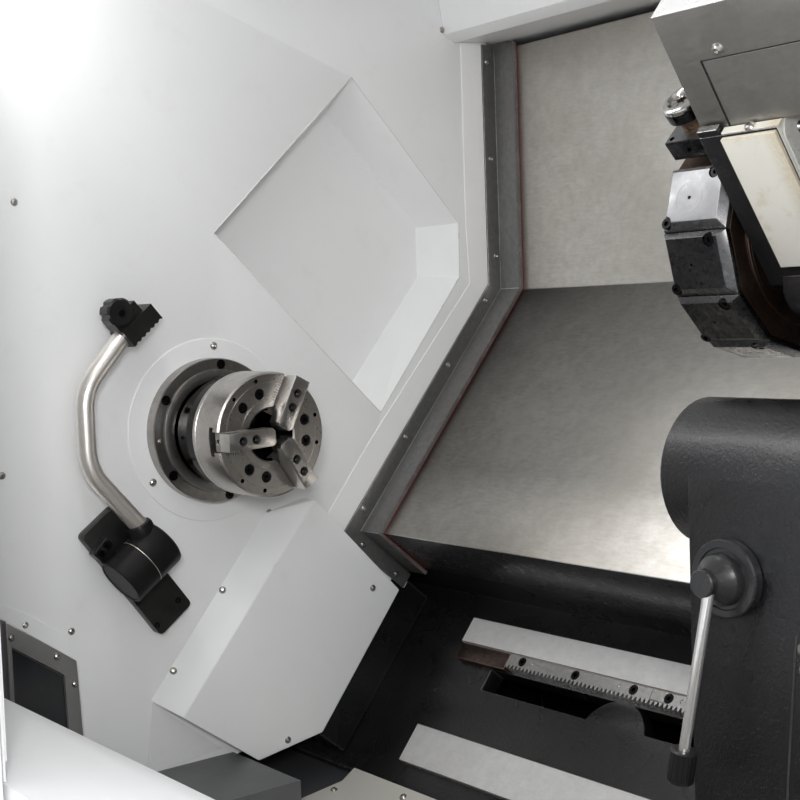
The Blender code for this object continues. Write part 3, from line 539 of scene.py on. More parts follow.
def drill(spot, way, r, deep, sides=20):
    return turned("drill", spot, way, [(0, r), (deep, r)], sides)


def cube(name, place):
    """A unit cube set by a matrix."""
    only()
    bpy.ops.mesh.primitive_cube_add(size=1)
    bpy.context.object.name = name
    return settled(bpy.context.object, place)


def jaw_box(name, a, x0, x1, r0, r1, w):
    """A cuboid on the chuck's jaw line at angle a, from x0 to x1 and from radius r0 to r1, w to each side."""
    return cube(name, HOME @ spin(a) @ Matrix.Translation(((x0 + x1) / 2000, (r0 + r1) / 2000, 0))
                @ Matrix.Diagonal(((x1 - x0) / 1000, (r1 - r0) / 1000, 2 * w / 1000, 1)))


turned_steel = metal("turned_steel", (0.6, 0.57, 0.54), (0.47, 0.445, 0.42), (0.4, 0.375, 0.35), 0.3, (30, 4, 4), 2.0,
                     0.05, 0.015, 0.15)
cap_steel = metal("cap_steel", (0.43, 0.41, 0.39), (0.32, 0.305, 0.29), (0.28, 0.26, 0.24), 0.32, (20, 4, 4), 2.0, 0.05,
                  0.015, 0.2)
dark_steel_and_shade = metal("dark_steel_and_painted_shade", (0.022, 0.022, 0.023), (0.014, 0.014, 0.015), (0.01, 0.01, 0.01), 0.15,
                   (4, 4, 4), 2.0, 0.04, 0.01)
jaw_steel = metal("ground_jaw", (0.7, 0.67, 0.64), (0.57, 0.545, 0.52), (0.5, 0.47, 0.44), 0.3, (4, 18, 18), 2.0, 0.05,
                  0.02, 0.15)
screw_black = metal("black_screw", (0.03, 0.03, 0.031), (0.014, 0.014, 0.015), (0.05, 0.045, 0.04), 0.34, (3, 3, 3),
                    4.0, 0.08)
screw_bright = metal("bright_screw", (0.6, 0.58, 0.55), (0.32, 0.3, 0.28), (0.2, 0.17, 0.15), 0.3, (3, 3, 3), 4.0, 0.08)
cap_head = screw("cap_head", 6.6, 6.0, 3.3)
dome_head = screw("dome_head", 6.2, 3.6, 2.4, 2.6)

CAP_SCREWS = (84.4, 149.7, 217.6, 278.9, 340, 22)
cap = turned("bearing_cap_ring", ORIGIN, X, [(2.6, 88), (2.6, 127), (25, 127), (27, 125.4), (27.2, 108.4),
             (30.6, 107), (31, 106), (31, 89.5), (30, 88)], 96, True)
cut(cap, *[drill(polar(20, 116.5, a), X, 8.9, 20, 24) for a in CAP_SCREWS],
    drill(polar(16, 116, 184.4), X, 4.6, 20))
finish(cap, "machine", "ground_steel", cap_steel, node="bearing_cap")
black_screws("bearing_cap_screws", [(polar(20.2, 116.5, a), X, 1.28) for a in CAP_SCREWS])
disc = turned("spindle_disc_sheet", ORIGIN, X, [(0.3, 90), (0.3, 162), (1.6, 162), (2.3, 161.2), (2.3, 90)], 96, True)
finish(disc, "machine", "white_sheet", white, node="spindle_disc")
nose = turned("spindle_nose", ORIGIN, X, [(-720, 24), (-720, 94), (-718, 96), (-640, 96), (-640, 62), (-600, 62),
                                          (-600, 108), (-598, 110), (-572, 110), (-572, 68), (-6, 68), (-6, 80),
                                          (30, 80), (34, 84), (36, 86), (56, 86), (58, 88), (58.6, 93), (60, 94),
                                          (84, 94), (84.6, 92.6), (86.4, 92.6), (87, 94), (88, 99), (114.7, 99),
                                          (114.7, 24)], 96, True)
finish(nose, "spindle", "dark_metal", dark_steel_and_shade, node="spindle_shaft")

JAWS = (183, 63, 303)
BOLTS = (106.2, 138, 16.7, 347.5, 230.1, 259.5)
body = turned("chuck_shell", ORIGIN, X, [(115, 27), (115, 100), (119, 105), (127, 105), (127.4, 104.3), (129, 104.3),
                                         (129.4, 105), (191, 105), (194.6, 104.2), (197, 101), (197, 88.9),
                                         (196.5, 88.5), (196.5, 87.7), (197, 87.3), (197, 60.4), (196.5, 60),
                                         (196.5, 59.2), (197, 58.8), (197, 46.5), (194.5, 44), (185, 44), (185, 40),
                                         (176, 40), (176, 27)], 128, True)
for a in JAWS:
    for x0, x1, w in ((182, 220, 16.9), (171.6, 182.6, 24)):
        cut(body, jaw_box("t_slot", a, x0, x1, 34, 130, w))
cut(body, *[turned("bore", polar(186, 70.8, a), X, [(0, 9.4), (10, 9.4), (12, 10.6)], 28) for a in BOLTS],
    *[turned("hole", polar(188, 93.2, a), X, [(0, 3.6), (8.6, 3.6), (10, 4.8)], 20) for a in BOLTS],
    drill(at(140, -99, 30), (0, -1, 0.3), 2, 12, 12))
finish(body, "spindle", "ground_steel", turned_steel, dark_steel_and_shade, node="chuck_body")
# Faces inside the bore and the small holes get the dark steel as a painted shade
wells = [polar(0, 93.2, a) - ORIGIN for a in BOLTS]
for p in body.data.polygons:
    mid = p.center - ORIGIN
    p.material_index = int(hypot(mid.y, mid.z) < 0.0445 and mid.x < 0.194
                           or mid.x < 0.1955 and any(hypot(mid.y - w.y, mid.z - w.z) < 0.0043 for w in wells))
shade(body, 30)
marks = []
for a in JAWS:
    for k in range(9):
        long = 0.007 if k % 2 else 0.0045
        marks.append(cube("mark", HOME @ spin(a) @ Matrix.Translation((0.19703, 0.054 + 0.0045 * k, 0.0176 + long / 2))
                          @ Matrix.Diagonal((0.00016, 0.0006, long, 1))))
finish(joined("chuck_scale", marks), "spindle", "dark_metal", dark_steel_and_shade)
black_screws("chuck_screws", [(polar(186.4, 70.8, a), X, 1.36) for a in BOLTS], "spindle")


# Chuck jaws: base jaws with a serrated top in the T slots, and bevelled top jaws bolted on them
# through two counterbores each. All are hardened steel with ground faces.
def edges_of(ob, test):
    """Opens a mesh for editing with the edges selected whose two ends, in metres, pass the test."""
    only(ob)
    mode("EDIT")
    bpy.ops.mesh.select_mode(type="EDGE")
    bpy.ops.mesh.select_all(action="DESELECT")
    mode("OBJECT")
    for e in ob.data.edges:
        e.select = test(*(ob.data.vertices[v].co for v in e.vertices))
    mode("EDIT")


def local(a, p):
    """A point as (x, radius, across) of the jaw at angle a, in millimetres."""
    return Matrix.Rotation(-radians(a), 3, "X") @ (Vector(p) - ORIGIN) * 1000


for i, a in enumerate(JAWS, 1):
    base = jaw_box(f"base_jaw_{i}", a, 182.4, 200, 47, 99, 15.7)
    teeth = [jaw_box("tooth", a, 198.6, 201, r, r + 1.5, 17) for r in range(49, 101, 3)]
    cut(base, *teeth)
    foot = jaw_box("foot", a, 172.6, 182.1, 46, 98, 22.6)
    cut(base, jaw_box("end_notch", a, 186, 194, 94, 101, 4))
    use(foot, "BEVEL", width=0.0008, segments=2)
    eased(base, 0.3, 1, angle_limit=radians(60))
    fuse(base, foot)
    finish(base, f"jaw_{i}", "ground_steel", cap_steel, node=f"master_jaw_{i}")
    top = jaw_box(f"top_jaw_steel_{i}", a, 200.3, 229, 12, 102, 15)
    edges_of(top, lambda p, q: max(local(a, p).y, local(a, q).y) < 13 and abs(local(a, p).x - local(a, q).x) > 5)
    bpy.ops.mesh.bevel(offset=0.0052, segments=1, affect="EDGES")
    mode("OBJECT")
    eased(top, 1.1, angle_limit=radians(25))
    cut(top, *[turned("bore", polar(212, r, a), X, [(0, 7.6), (16.6, 7.6), (18, 8.4)], 28) for r in (50, 75)])
    shade(top, 30)
    finish(top, f"jaw_{i}", "ground_steel", jaw_steel, node=f"top_jaw_{i}")
    black_screws(f"jaw_screws_{i}", [(polar(212.4, r, a), X, 1.1) for r in (50, 75)], f"jaw_{i}")


# Headstock wall: screws, the thin weld bead round the diamond recess and the bead of the fold beside it.
# The wall is one folded sheet, and the cover under the chuck is screwed on over it.
def slant(x, s, n):
    """Point on the bed's slant: s up it, n square to it."""
    return at(x, s * cos(SLANT) - n * sin(SLANT), s * sin(SLANT) + n * cos(SLANT))


def drawn_curve(name, points, ring, **settings):
    """A curve through points, turned into a mesh."""
    curve = bpy.data.curves.new(name, "CURVE")
    for k, v in settings.items():
        setattr(curve, k, v)
    line = curve.splines.new("POLY")
    line.points.add(len(points) - 1)
    for k, p in enumerate(points):
        line.points[k].co = (*p, 1)
    line.use_cyclic_u = ring
    only(linked(bpy.data.objects.new(name, curve)))
    bpy.ops.object.convert(target="MESH")
    return bpy.context.object


def bead(name, points, r, body, slot, mat, ring=False):
    """A thin welded or folded line that follows points: a small section drawn along them."""
    ob = drawn_curve(name, points, ring, dimensions="3D", bevel_depth=r / 1000, bevel_resolution=2, use_fill_caps=True)
    shade(ob, 50)
    return finish(ob, body, slot, mat)


def sheet(name, outline, x0, x1):
    """A flat sheet of this (y, z) outline between two heights above the wall."""
    ob = drawn_curve(name, [(y / 1000, z / 1000, 0) for y, z in outline], True, dimensions="2D", fill_mode="BOTH",
                     extrude=(x1 - x0) / 2000)
    mode("EDIT")
    bpy.ops.mesh.select_mode(type="VERT")
    bpy.ops.mesh.select_all(action="SELECT")
    bpy.ops.mesh.remove_doubles(threshold=0.00001)
    bpy.ops.mesh.normals_make_consistent(inside=False)
    mode("OBJECT")
    return settled(ob, Matrix.Translation(at((x0 + x1) / 2, 0, 0))
                   @ Matrix(((0, 0, 1, 0), (1, 0, 0, 0), (0, 1, 0, 0), (0, 0, 0, 1))))


def rounded_ring(x0, x1, z0, z1, r, y):
    """Corner-rounded outline of an opening in a front sheet."""
    return [at(x + r * cos(radians(a)), y, z + r * sin(radians(a)))
            for x, z, a0 in ((x1 - r, z1 - r, 0), (x0 + r, z1 - r, 90), (x0 + r, z0 + r, 180), (x1 - r, z0 + r, 270))
            for a in range(a0, a0 + 91, 15)]


seam_grey = painted("seam_grey", (0.8, 0.8, 0.8), (0.7, 0.7, 0.69), (0.25, 0.22, 0.2), 0.5, 0.8, 4)
rim = [(341, 645), (24, 347), (383, 4), (597, 265), (599, 374)]
bead("recess_bead", [at(0.1, *p) for p in rim], 0.9, "machine", "white_sheet", seam_grey, True)
lamp_board = sheet("lamp_surround", [(-409, -246), (-368, -267), (-288, -321), (-287, -356.6), (-403, -271.6),
                                     (-409, -270)], 0.1, 1.5)
finish(lamp_board, "machine", "white_sheet", white)
low_fold = sheet("lower_fold", [(-139, -464), (-155, -588), (-4, -573)], 0.1, 1.1)
finish(low_fold, "machine", "white_sheet", painted("shaded_coat", (0.8, 0.8, 0.8), (0.77, 0.77, 0.77),
                                                   (0.6, 0.58, 0.54), 0.45, 0.15))
fold = sheet("wall_fold", [(619, 736), (673.4, 736), (673.4, 250), (275.5, -224.6), (237, -192), (355, -47), (624, 252),
                           (618, 365)], 0.1, 1.6)
eased(fold, 0.6, mat=1, angle_limit=radians(50))
# The fold strip is coloured whiter than the wall: painted light where the fold catches the lamps
fold_painted_light = painted("fold_coat_painted_light", (0.97, 0.97, 0.97), (0.95, 0.95, 0.95), (0.6, 0.58, 0.54), 0.4, 0.1)
finish(fold, "machine", "white_sheet", fold_painted_light, white_edge)
bright_screws("wall_screws", [(at(0, y, z), X, 1.0) for y, z in ((-343, 392), (-387, -44))]
              + [(at(2.3, y, z), X, 1.15) for y, z in ((13, 148), (-119, -82))] + [(at(0.3, 117, -161), X, 1.0)])

# Presetter: black cast plate on the wall, a two-part barrel that the arm swings in, a bent steel tube
# and the lobed sensing head. The cable runs inside, so none shows.
ARM = radians(36.5)
barrel_way = Vector((0, cos(ARM), sin(ARM)))
barrel_side = Vector((0, -sin(ARM), cos(ARM)))
pivot = at(58, -176, -205)


def barrel(along, side, x):
    """Point beside the presetter's pivot: along the barrel, across it, out from the wall."""
    return pivot + (barrel_way * along + barrel_side * side + Vector((x - 58, 0, 0))) / 1000


pre_black = cast("presetter_black", (0.01, 0.0095, 0.0095), (0.02, 0.019, 0.018), (0.06, 0.06, 0.06), 0.36, 0.15, 3.0,
                 0.25)
pre_edge = cast("presetter_edge", (0.06, 0.055, 0.05), (0.12, 0.1, 0.085), (0.2, 0.19, 0.18), 0.35, 0.1, 3.0)
softened("presetter_base", 1.6, pre_black, pre_edge)
arm_steel = metal("brushed_tube", (0.9, 0.86, 0.81), (0.84, 0.8, 0.75), (0.76, 0.72, 0.66), 0.3, (30, 3, 3), 2.0, 0.01,
                  0.003, 0.2, 0.8)
drum_black = cast("barrel_black", (0.008, 0.008, 0.008), (0.013, 0.012, 0.012), (0.04, 0.04, 0.04), 0.42, 0.1, 3.0,
                  0.12)
drum = turned("arm_barrel", pivot, barrel_way, [(0.6, 42.5), (1.6, 43.5), (46, 43.5), (50.5, 41.4), (53, 37), (53, 28),
                                                (52.4, 27.4), (52.4, 26.4), (53, 25.8), (53, 8)], 72)
boss = turned("tube_boss", barrel(24, 0, 58), (at(58, -187, -128) - barrel(24, 0, 58)),
              [(0, 25), (50, 23), (55, 21), (56, 17)], 40)
fuse(drum, boss)
shade(drum, 30)
finish(drum, "presetter", "dark_metal", drum_black)
finish(turned("base_barrel", pivot, barrel_way,
              [(-50, 8), (-50, 37.4), (-49.2, 38), (-49.2, 39), (-51, 40), (-51, 42), (-49.6, 43.5), (-1.6, 43.5),
               (-0.5, 42.5), (-0.5, 8)], 72), "machine", "dark_metal", drum_black)
finish(turned("barrel_ring", pivot, barrel_way, [(-0.4, 38), (-0.4, 43.4), (0.4, 43.4), (0.4, 38)], 72, True),
       "machine", "ground_steel", arm_steel)
black_screws("presetter_screws", [(at(16.2, y, z), X, 0.85) for y, z in ((-167, -281), (-90, -289), (-133, -326))])


def rounded(points, reach, steps=7):
    """Rounds the corners of a path of (y, z) points, as a tube bender does."""
    out = [Vector(points[0])]
    for a, b, c in zip(points, points[1:], points[2:]):
        a, b, c = Vector(a), Vector(b), Vector(c)
        p, q = b + (a - b).normalized() * reach, b + (c - b).normalized() * reach
        out += [(p * (1 - t) + b * t) * (1 - t) + (b * (1 - t) + q * t) * t
                for t in (k / steps for k in range(steps + 1))]
    return out + [Vector(points[-1])]


spine = rounded([(-178, -144), (-265, -43), (-266, 86), (-170, 197)], 34)
only()
first = spine[1] - spine[0]
bpy.ops.mesh.primitive_circle_add(vertices=40, radius=0.0155, fill_type="NGON", location=at(58, *spine[0]),
                                  rotation=Vector((0, *first)).to_track_quat("Z", "X").to_euler())
tube = bpy.context.object
tube.name = "arm_tube"
mode("EDIT")
bpy.ops.mesh.select_all(action="SELECT")
for k in range(1, len(spine)):
    step = (spine[k] - spine[k - 1]) / 1000
    bpy.ops.mesh.extrude_region_move(TRANSFORM_OT_translate={"value": (0, step.x, step.y)})
    if k < len(spine) - 1:
        a, b = spine[k] - spine[k - 1], spine[k + 1] - spine[k]
        turn = atan2(a.x * b.y - a.y * b.x, a.dot(b))
        bpy.ops.transform.rotate(value=-turn, orient_axis="X", center_override=at(58, *spine[k]))
bpy.ops.mesh.select_all(action="SELECT")
bpy.ops.mesh.normals_make_consistent(inside=False)
mode("OBJECT")
only(tube)
bpy.ops.object.transform_apply(location=True, rotation=True, scale=True)
shade(tube, 40)
finish(tube, "presetter", "ground_steel", arm_steel, node="presetter_arm")


# Turret: twelve-sided steel disc, each side closed by a bevelled cover plate that two cap screws hold in
# notched corners. Plates are ground or blackened; rust and oil creep out of the seams around them.
def brick(name, lo, hi, here=None):
    """A cuboid between two corners in millimetres, carried by a matrix when one is given."""
    ob = cube(name, Matrix.Translation([(a + b) / 2000 for a, b in zip(lo, hi)])
              @ Matrix.Diagonal([abs(b - a) / 1000 for a, b in zip(lo, hi)] + [1]))
    return settled(ob, here) if here else ob


def faces_of(ob, test):
    """Opens a mesh for editing with the faces selected whose normal passes the test."""
    only(ob)
    mode("EDIT")
    bpy.ops.mesh.select_mode(type="FACE")
    bpy.ops.mesh.select_all(action="DESELECT")
    mode("OBJECT")
    for p in ob.data.polygons:
        p.select = test(p.normal)
    mode("EDIT")


TURRET_S, FIRST_SIDE, SIDES = 366, 165.5, 12


def station(k):
    """Frame of one turret side: X along the spindle, Y out of the disc, Z along the side."""
    return Matrix.Translation(slant(0, TURRET_S, 0)) @ spin(FIRST_SIDE + 360 // SIDES * k)


plate_black = metal("blackened_plate", (0.1, 0.1, 0.104), (0.035, 0.035, 0.038), (0.07, 0.06, 0.055), 0.26, (3, 3, 3),
                    2.2, 0.12, 0.06, 0.5)
plate_black_edge = metal("blackened_edge", (0.2, 0.2, 0.205), (0.09, 0.09, 0.092), (0.12, 0.1, 0.09), 0.3, (3, 3, 3),
                         3.0, 0.1)
plate_ground = metal("ground_plate", (0.31, 0.31, 0.32), (0.24, 0.24, 0.247), (0.22, 0.215, 0.215), 0.34, (40, 3, 3),
                     2.0, 0.08, 0.03, 0.5)
disc_brown = metal("rusty_disc", (0.13, 0.085, 0.065), (0.06, 0.045, 0.038), (0.2, 0.1, 0.055), 0.42, (3, 3, 3), 2.4,
                   0.12, 0.2, 0.6)
only()
bpy.ops.mesh.primitive_cylinder_add(vertices=SIDES, radius=0.1455 / cos(pi / SIDES), depth=0.096)
core = bpy.context.object
settled(core, station(0) @ spin(180 // SIDES) @ Matrix.Translation((1.0285, 0, 0))
        @ spin(90, "Y"))
for far, r in ((968, 62), (1062, 122)):
    flat = turned("hub_plate", slant(far, TURRET_S, 0), X, [(0, r), (17, r), (17.8, r - 0.8)], 64)
    fuse(core, flat)
for r in (118, 96):
    cut(core, turned("ring_groove", slant(1079.2, TURRET_S, 0), X, [(0, r - 1), (0, r), (2, r), (2, r - 1)], 64, True))
core.name = "turret_core"
eased(core, 0.8, angle_limit=radians(25))
shade(core, 25)
finish(core, "turret", "black_casting", disc_brown, node="turret_disc")


COVER_SCREWS = ((1052, -30), (987, 30))


def cover_plate(name, ring=False):
    """A station's cover plate, bevelled wider along two sides, with notched corners and a centre hole."""
    ob = brick(name, (981, 145.7, -40.2), (1075.8, 152.6, 40.2))
    faces_of(ob, lambda n: n.y > 0.9)
    bpy.ops.mesh.extrude_region_move(TRANSFORM_OT_translate={"value": (0, 0.0068, 0)})
    bpy.ops.transform.resize(value=(0.82, 1, 0.8))
    bpy.ops.transform.translate(value=(-0.0026, 0, -0.0024))
    mode("OBJECT")
    eased(ob, 0.7, angle_limit=radians(20))
    cut(ob, *[drill((x / 1000, 0.151, z / 1000), Y, 8.4, 12, 28) for x, z in COVER_SCREWS],
        turned("centre_hole", (1.019, 0.154, 0), Y, [(0, 2.2), (5.2, 2.2), (6, 3)], 16))
    if ring:
        cut(ob, turned("scribed_ring", (1.019, 0.1592, 0), Y, [(0, 19.4), (0, 20), (1, 20), (1, 19.4)], 48, True))
    shade(ob, 20)
    return ob


# Sensing head: a black block on the end of the presetter's tube with a ribbed edge, and a lobed stylus cover
# beside it, held by one cap screw. The wall's twin connector has a screw in each of its plugs.
head_frame = Matrix.Translation(at(0, -174.5, 196)) @ spin(41)
head = brick("sensing_head", (36, -35, -25.5), (84, 35, 6), head_frame)
neck = brick("neck", (40, -34, 0), (74, 20, 27), head_frame)
LOBE_Y, LOBE_Z = -0.012, 0.029
lobes = turned("lobes", head_frame @ Vector((0.046, LOBE_Y, LOBE_Z)), X, [(0, 23), (1.5, 24.5), (28, 24.5), (31, 21)],
               48)
cut(lobes, *[drill(head_frame @ Vector((0.04, LOBE_Y + 0.0262 * cos(t), LOBE_Z + 0.0262 * sin(t))), X, 5.2, 42, 24)
             for t in (2 * pi * k / 7 for k in range(7))])
fuse(head, neck)
fuse(head, lobes)
cut(head, *[drill(head_frame @ Vector((0.03, y / 1000, -0.0275)), X, 4.2, 60, 24) for y in range(-26, 36, 11)])
eased(head, 0.8, mat=1, angle_limit=radians(40))
finish(head, "presetter", "black_plastic", pre_black, pre_edge, node="presetter_head")
black_screws("head_screw", [(head_frame @ Vector((0.0765, LOBE_Y, LOBE_Z)), X, 0.9)], "presetter")
plug_frame = Matrix.Translation(at(0, -235, -178)) @ spin(47)
plug = brick("connector", (19, -18, -8.5), (38, 18, 8.5), plug_frame)
eased(plug, 1.2, mat=1)
finish(plug, "machine", "black_plastic", pre_black, pre_edge)
black_screws("connector_plugs", [(plug_frame @ Vector((0.038, y, 0)), X, 0.95) for y in (-0.009, 0.009)])

heads = []
for k in range(SIDES - 1):
    plate = settled(cover_plate(f"cover_plate_{k + 1}", k == 0), station(k))
    finish(plate, "turret", "black_casting", plate_black if k else plate_ground, plate_black_edge)
    out = station(k).to_3x3() @ Vector(Y)
    for p in plate.data.polygons:
        p.material_index = int(0.4 < p.normal.dot(out) < 0.96)
    heads += [(station(k) @ Vector((x / 1000, 0.1512, z / 1000)), out, 1.12) for x, z in COVER_SCREWS]
black_screws("cover_plate_screws", heads, "turret")

# Collet chuck holder: black block on one station, bronze-brown neck, black nut with a polished rim
# and spanner notches, and a slit spring collet inside it.
bronze = metal("brown_neck", (0.3, 0.2, 0.13), (0.2, 0.13, 0.09), (0.1, 0.07, 0.05), 0.3, (3, 3, 3), 3.0)
polished = metal("polished_rim", (0.75, 0.74, 0.72), (0.62, 0.6, 0.58), (0.5, 0.48, 0.45), 0.14, (2, 2, 2), 3.0, 0.05)
way_out = station(-1).to_3x3() @ Vector(Y)
nut_foot = station(-1) @ Vector((1.016, 0.198, 0))
tool = brick("collet_holder_block", (984, 159.9, -33), (1048, 188, 33))
eased(tool, 1.6, mat=1)
cut(tool, *[drill((x / 1000, 0.18, z / 1000), Y, 3.6, 9)
            for x, z in ((992, -25), (1040, -25), (992, 25), (1040, 25))],
    drill((1.016, 0.174, 0.028), Z, 4, 8))
settled(tool, station(-1))
finish(tool, "turret", "black_casting", plate_black, plate_black_edge, node="collet_holder")
tool.data.materials.append(plate_ground)
for p in tool.data.polygons:
    if p.normal.dot(way_out) > 0.95:
        p.material_index = 2
finish(turned("collet_neck", station(-1) @ Vector((1.016, 0.188, 0)), way_out,
              [(0.1, 17.6), (0.1, 18), (3, 18), (3.6, 16.8), (5, 16.8), (5.6, 18), (14.6, 18), (15, 17.6), (15, 10)],
              48), "turret", "black_casting", bronze)
nut = turned("collet_nut_body", nut_foot, way_out, [(5.4, 18.4), (5.4, 21), (6, 22), (9, 27),
             (21, 27), (21.4, 26), (22.6, 26), (22.6, 18)], 64, True)
cut(nut, *[settled(brick("notch", (-3, -30, 12), (3, -24, 23)), facing(nut_foot, way_out) @ spin(a, "Z"))
           for a in range(0, 360, 60)])
finish(nut, "turret", "ground_steel", plate_black, node="collet_nut")
finish(turned("collet_nut_rim", nut_foot, way_out,
              [(22.7, 12), (22.7, 26.6), (25, 27), (28, 26.2), (30.4, 23.4), (31, 21.5), (30.8, 19), (29, 17.2),
               (25.4, 15.4), (24, 12)], 64, True), "turret", "ground_steel", polished)
collet = turned("spring_collet", nut_foot, way_out, [(15.2, 6.2), (15.2, 11.6), (27, 14.6), (28, 14),
                (28, 7), (27, 6.2)], 48, True)
cut(collet, *[settled(brick("slit", (-0.6, 3, 17), (0.6, 17, 30)), facing(nut_foot, way_out) @ spin(a, "Z"))
              for a in range(0, 360, 45)])
finish(collet, "turret", "ground_steel", turned_steel)

# Slide box over the turret: folded stainless sheet with a panel set into its front, a button screw and a
# bright bracket; below it a painted cover on the black housing, whose end face is speckled primer.
band_black = cast("housing_black", (0.01, 0.01, 0.011), (0.018, 0.018, 0.019), (0.06, 0.06, 0.06), 0.24, 0.12, 2.0,
                  0.25)
# The housing's rounded edges are coloured pale: a painted highlight
housing_edge_highlight = metal("housing_edge_painted_highlight", (0.5, 0.5, 0.5), (0.3, 0.3, 0.3), (0.14, 0.13, 0.12), 0.25, (2, 2, 2), 4.0)
primer = painted("speckled_primer", (0.62, 0.61, 0.57), (0.46, 0.45, 0.42), (0.3, 0.27, 0.22), 0.5, 1.0, 7.0, 0.15)
cream = painted("cream_cover_paint", (0.72, 0.7, 0.63), (0.64, 0.62, 0.55), (0.5, 0.4, 0.28), 0.4, 0.7, 1.4)
cream_edge = painted("cream_worn_edge", (0.66, 0.6, 0.48), (0.55, 0.47, 0.34), (0.4, 0.3, 0.2), 0.45, 0.7, 4.0)
box_steel = metal("brushed_box_sheet", (0.46, 0.445, 0.42), (0.37, 0.355, 0.335), (0.3, 0.28, 0.25), 0.42,
                  (0.8, 3.2, 3.2), 2.0, 0.08, 0.05, 0.5)
boxes = {"turret_housing": (1.0, band_black, housing_edge_highlight), "turret_cover": (1.2, cream, cream_edge),
         "slide_box": (0.9, box_steel, stainless_edge)}
housing, _, box = (softened(n, r, m, e, "cross_slide_body", 35, 3)
                   for (n, (r, m, e)), s in zip(boxes.items(), ("black_casting", "white_sheet", "stainless_sheet")))
housing.data.materials.append(primer)
HOUSING_END = 1186.5
for p in housing.data.polygons:
    mid = (p.center - ORIGIN) * 1000
    if mid.x > HOUSING_END and (mid.z * cos(SLANT) > mid.y * sin(SLANT) or p.normal.y < -0.5):
        p.material_index = 2
cream_tree = cream.node_tree
own = wire(cream_tree, "SeparateXYZ", {0: wire(cream_tree, "TexCoord").outputs["Object"]})
rubbed = wire(cream_tree, "TexNoise", {"Scale": 30, "Detail": 4})
side = wire(cream_tree, "MapRange", {0: own.outputs["X"], 1: at(1164, 0, 0).x, 2: at(1184, 0, 0).x})
mask = wire(cream_tree, "Math", {0: side, 1: rubbed}, operation="MULTIPLY")
overlay(cream, mask, (0.46, 0.36, 0.2, 1))

# The box's front frame: X along the spindle, Y down its face, Z into it
top_edge, low_edge = slant(0, 357, 368), slant(0, 320, 224.3)
drop = low_edge - top_edge
box_face = Matrix.Translation(top_edge) @ Matrix.Rotation(atan2(drop.z, drop.y), 4, "X")
slope = HOME @ spin(50)
cut(box, brick("window", (1118, 62, -3), (1416, 160, 2.1), box_face))
box_top_painted_light = metal("box_top_painted_highlight", (0.95, 0.95, 0.94), (0.9, 0.9, 0.89), (0.8, 0.79, 0.77), 0.3, (1, 3, 3), 1.0, 0.08,
                0.04, 0.4, 0.3)
for mat in (painted_shade_metal, box_top_painted_light):
    box.data.materials.append(mat)
up_slope = slope.to_3x3() @ Vector(Z)
# Faces in the window's recess take the dark painted shade as a shadow line; faces turned up the slant take a pale
# painted highlight
for p in box.data.polygons:
    spot = box_face.inverted() @ p.center * 1000
    if 0.1 < spot.z < 2.3 and 1117 < spot.x < 1417 and 61 < spot.y < 161:
        p.material_index = 2
    elif p.normal.dot(up_slope) > 0.9:
        p.material_index = 3
panel = brick("slide_box_panel", (1120.2, 64.2, 0.9), (1414, 147.6, 2.0), box_face)
eased(panel, 0.4, mat=1)
finish(panel, "cross_slide_body", "stainless_sheet", box_steel, stainless_edge)
outward = box_face.to_3x3() @ Vector((0, 0, -1))
bright_screws("box_screws", [(box_face @ Vector((x / 1000, y / 1000, 0)), outward, 1.25) for x,
                             y in ((1147, 53), (1400, 53))], "cross_slide_body")
block = brick("housing_corner", (1080.4, 309.2, 224.2), (1110, 319.3, 233), slope)
eased(block, 1, mat=1)
finish(block, "cross_slide_body", "black_casting", band_black, housing_edge_highlight)
# The block's face turned up the slant takes the pale painted highlight
for p in block.data.polygons:
    p.material_index = int(p.normal.dot(up_slope) > 0.9)
strap = brick("cover_strap", (1112, 309.2, 224.2), (1190, 319.3, 226.6), slope)
eased(strap, 0.7)
finish(strap, "cross_slide_body", "stainless_sheet", cream)
end_plate = brick("housing_end_plate", (1187.3, 312, 15), (1190.2, 425, 222))
faces_of(end_plate, lambda n: n.z < -0.9)
bpy.ops.transform.translate(value=(0, -0.048, 0))
mode("OBJECT")
edges_of(end_plate, lambda p, q: min(p.z, q.z) > 0.2 and max(p.y, q.y) < 0.33)
bpy.ops.mesh.bevel(offset=0.016, segments=6, affect="EDGES")
mode("OBJECT")
eased(end_plate, 0.6, mat=1)
finish(settled(end_plate, slope), "cross_slide_body", "black_casting", primer, cream_edge)
bright_screws("cover_screws", [(slope @ (Vector((x, s, n)) / 1000), w, 1.1) for x, s, n,
                               w in ((1150, 314.5, 226.6, up_slope), (1190.2, 336, 196, Vector(X)),
                                     (1190.2, 300, 60, Vector(X)))], "cross_slide_body")

# Tailstock: quill of ground steel in the round housing; clamp lever with a cone hub, a plated rod and a
# ribbed plastic grip. The casting is in two halves, joined along a seam with two set screws.
softened("quill", 0.8, ground_steel, screw_bright, "quill_body")
bead("tailstock_seam", [at(1281, -85, -150), at(1267.5, -85, -305), at(1262, -85, -418)], 1.3, "tailstock",
     "black_casting", black_edge)
copies("tailstock_screws", dome_head, [(at(x, -85, z), FRONT, 1.5) for x,
                                       z in ((1291, -163), (1293, -184), (1279, -330))], "tailstock", "dark_metal",
       screw_bright)
lever_black = cast("lever_black", (0.013, 0.013, 0.014), (0.03, 0.03, 0.03), (0.1, 0.1, 0.1), 0.24, 0.1, 3.0)
finish(turned("lever_hub", at(1200, -85, -100), FRONT,
              [(0.5, 41), (1.5, 42), (12, 42), (14, 40.4), (14, 33.4), (12.4, 32.4), (12.4, 28.4), (23, 27.4), (25, 26),
               (26, 24.6), (39, 15.4), (41, 14.4), (42, 14.4), (43, 15), (48.4, 15), (50, 13.6), (50, 4)], 72),
       "clamp_lever_body", "dark_metal", lever_black, node="clamp_lever")
rod_a, rod_b = at(1206, -128, -104), at(1166, -128, -292)
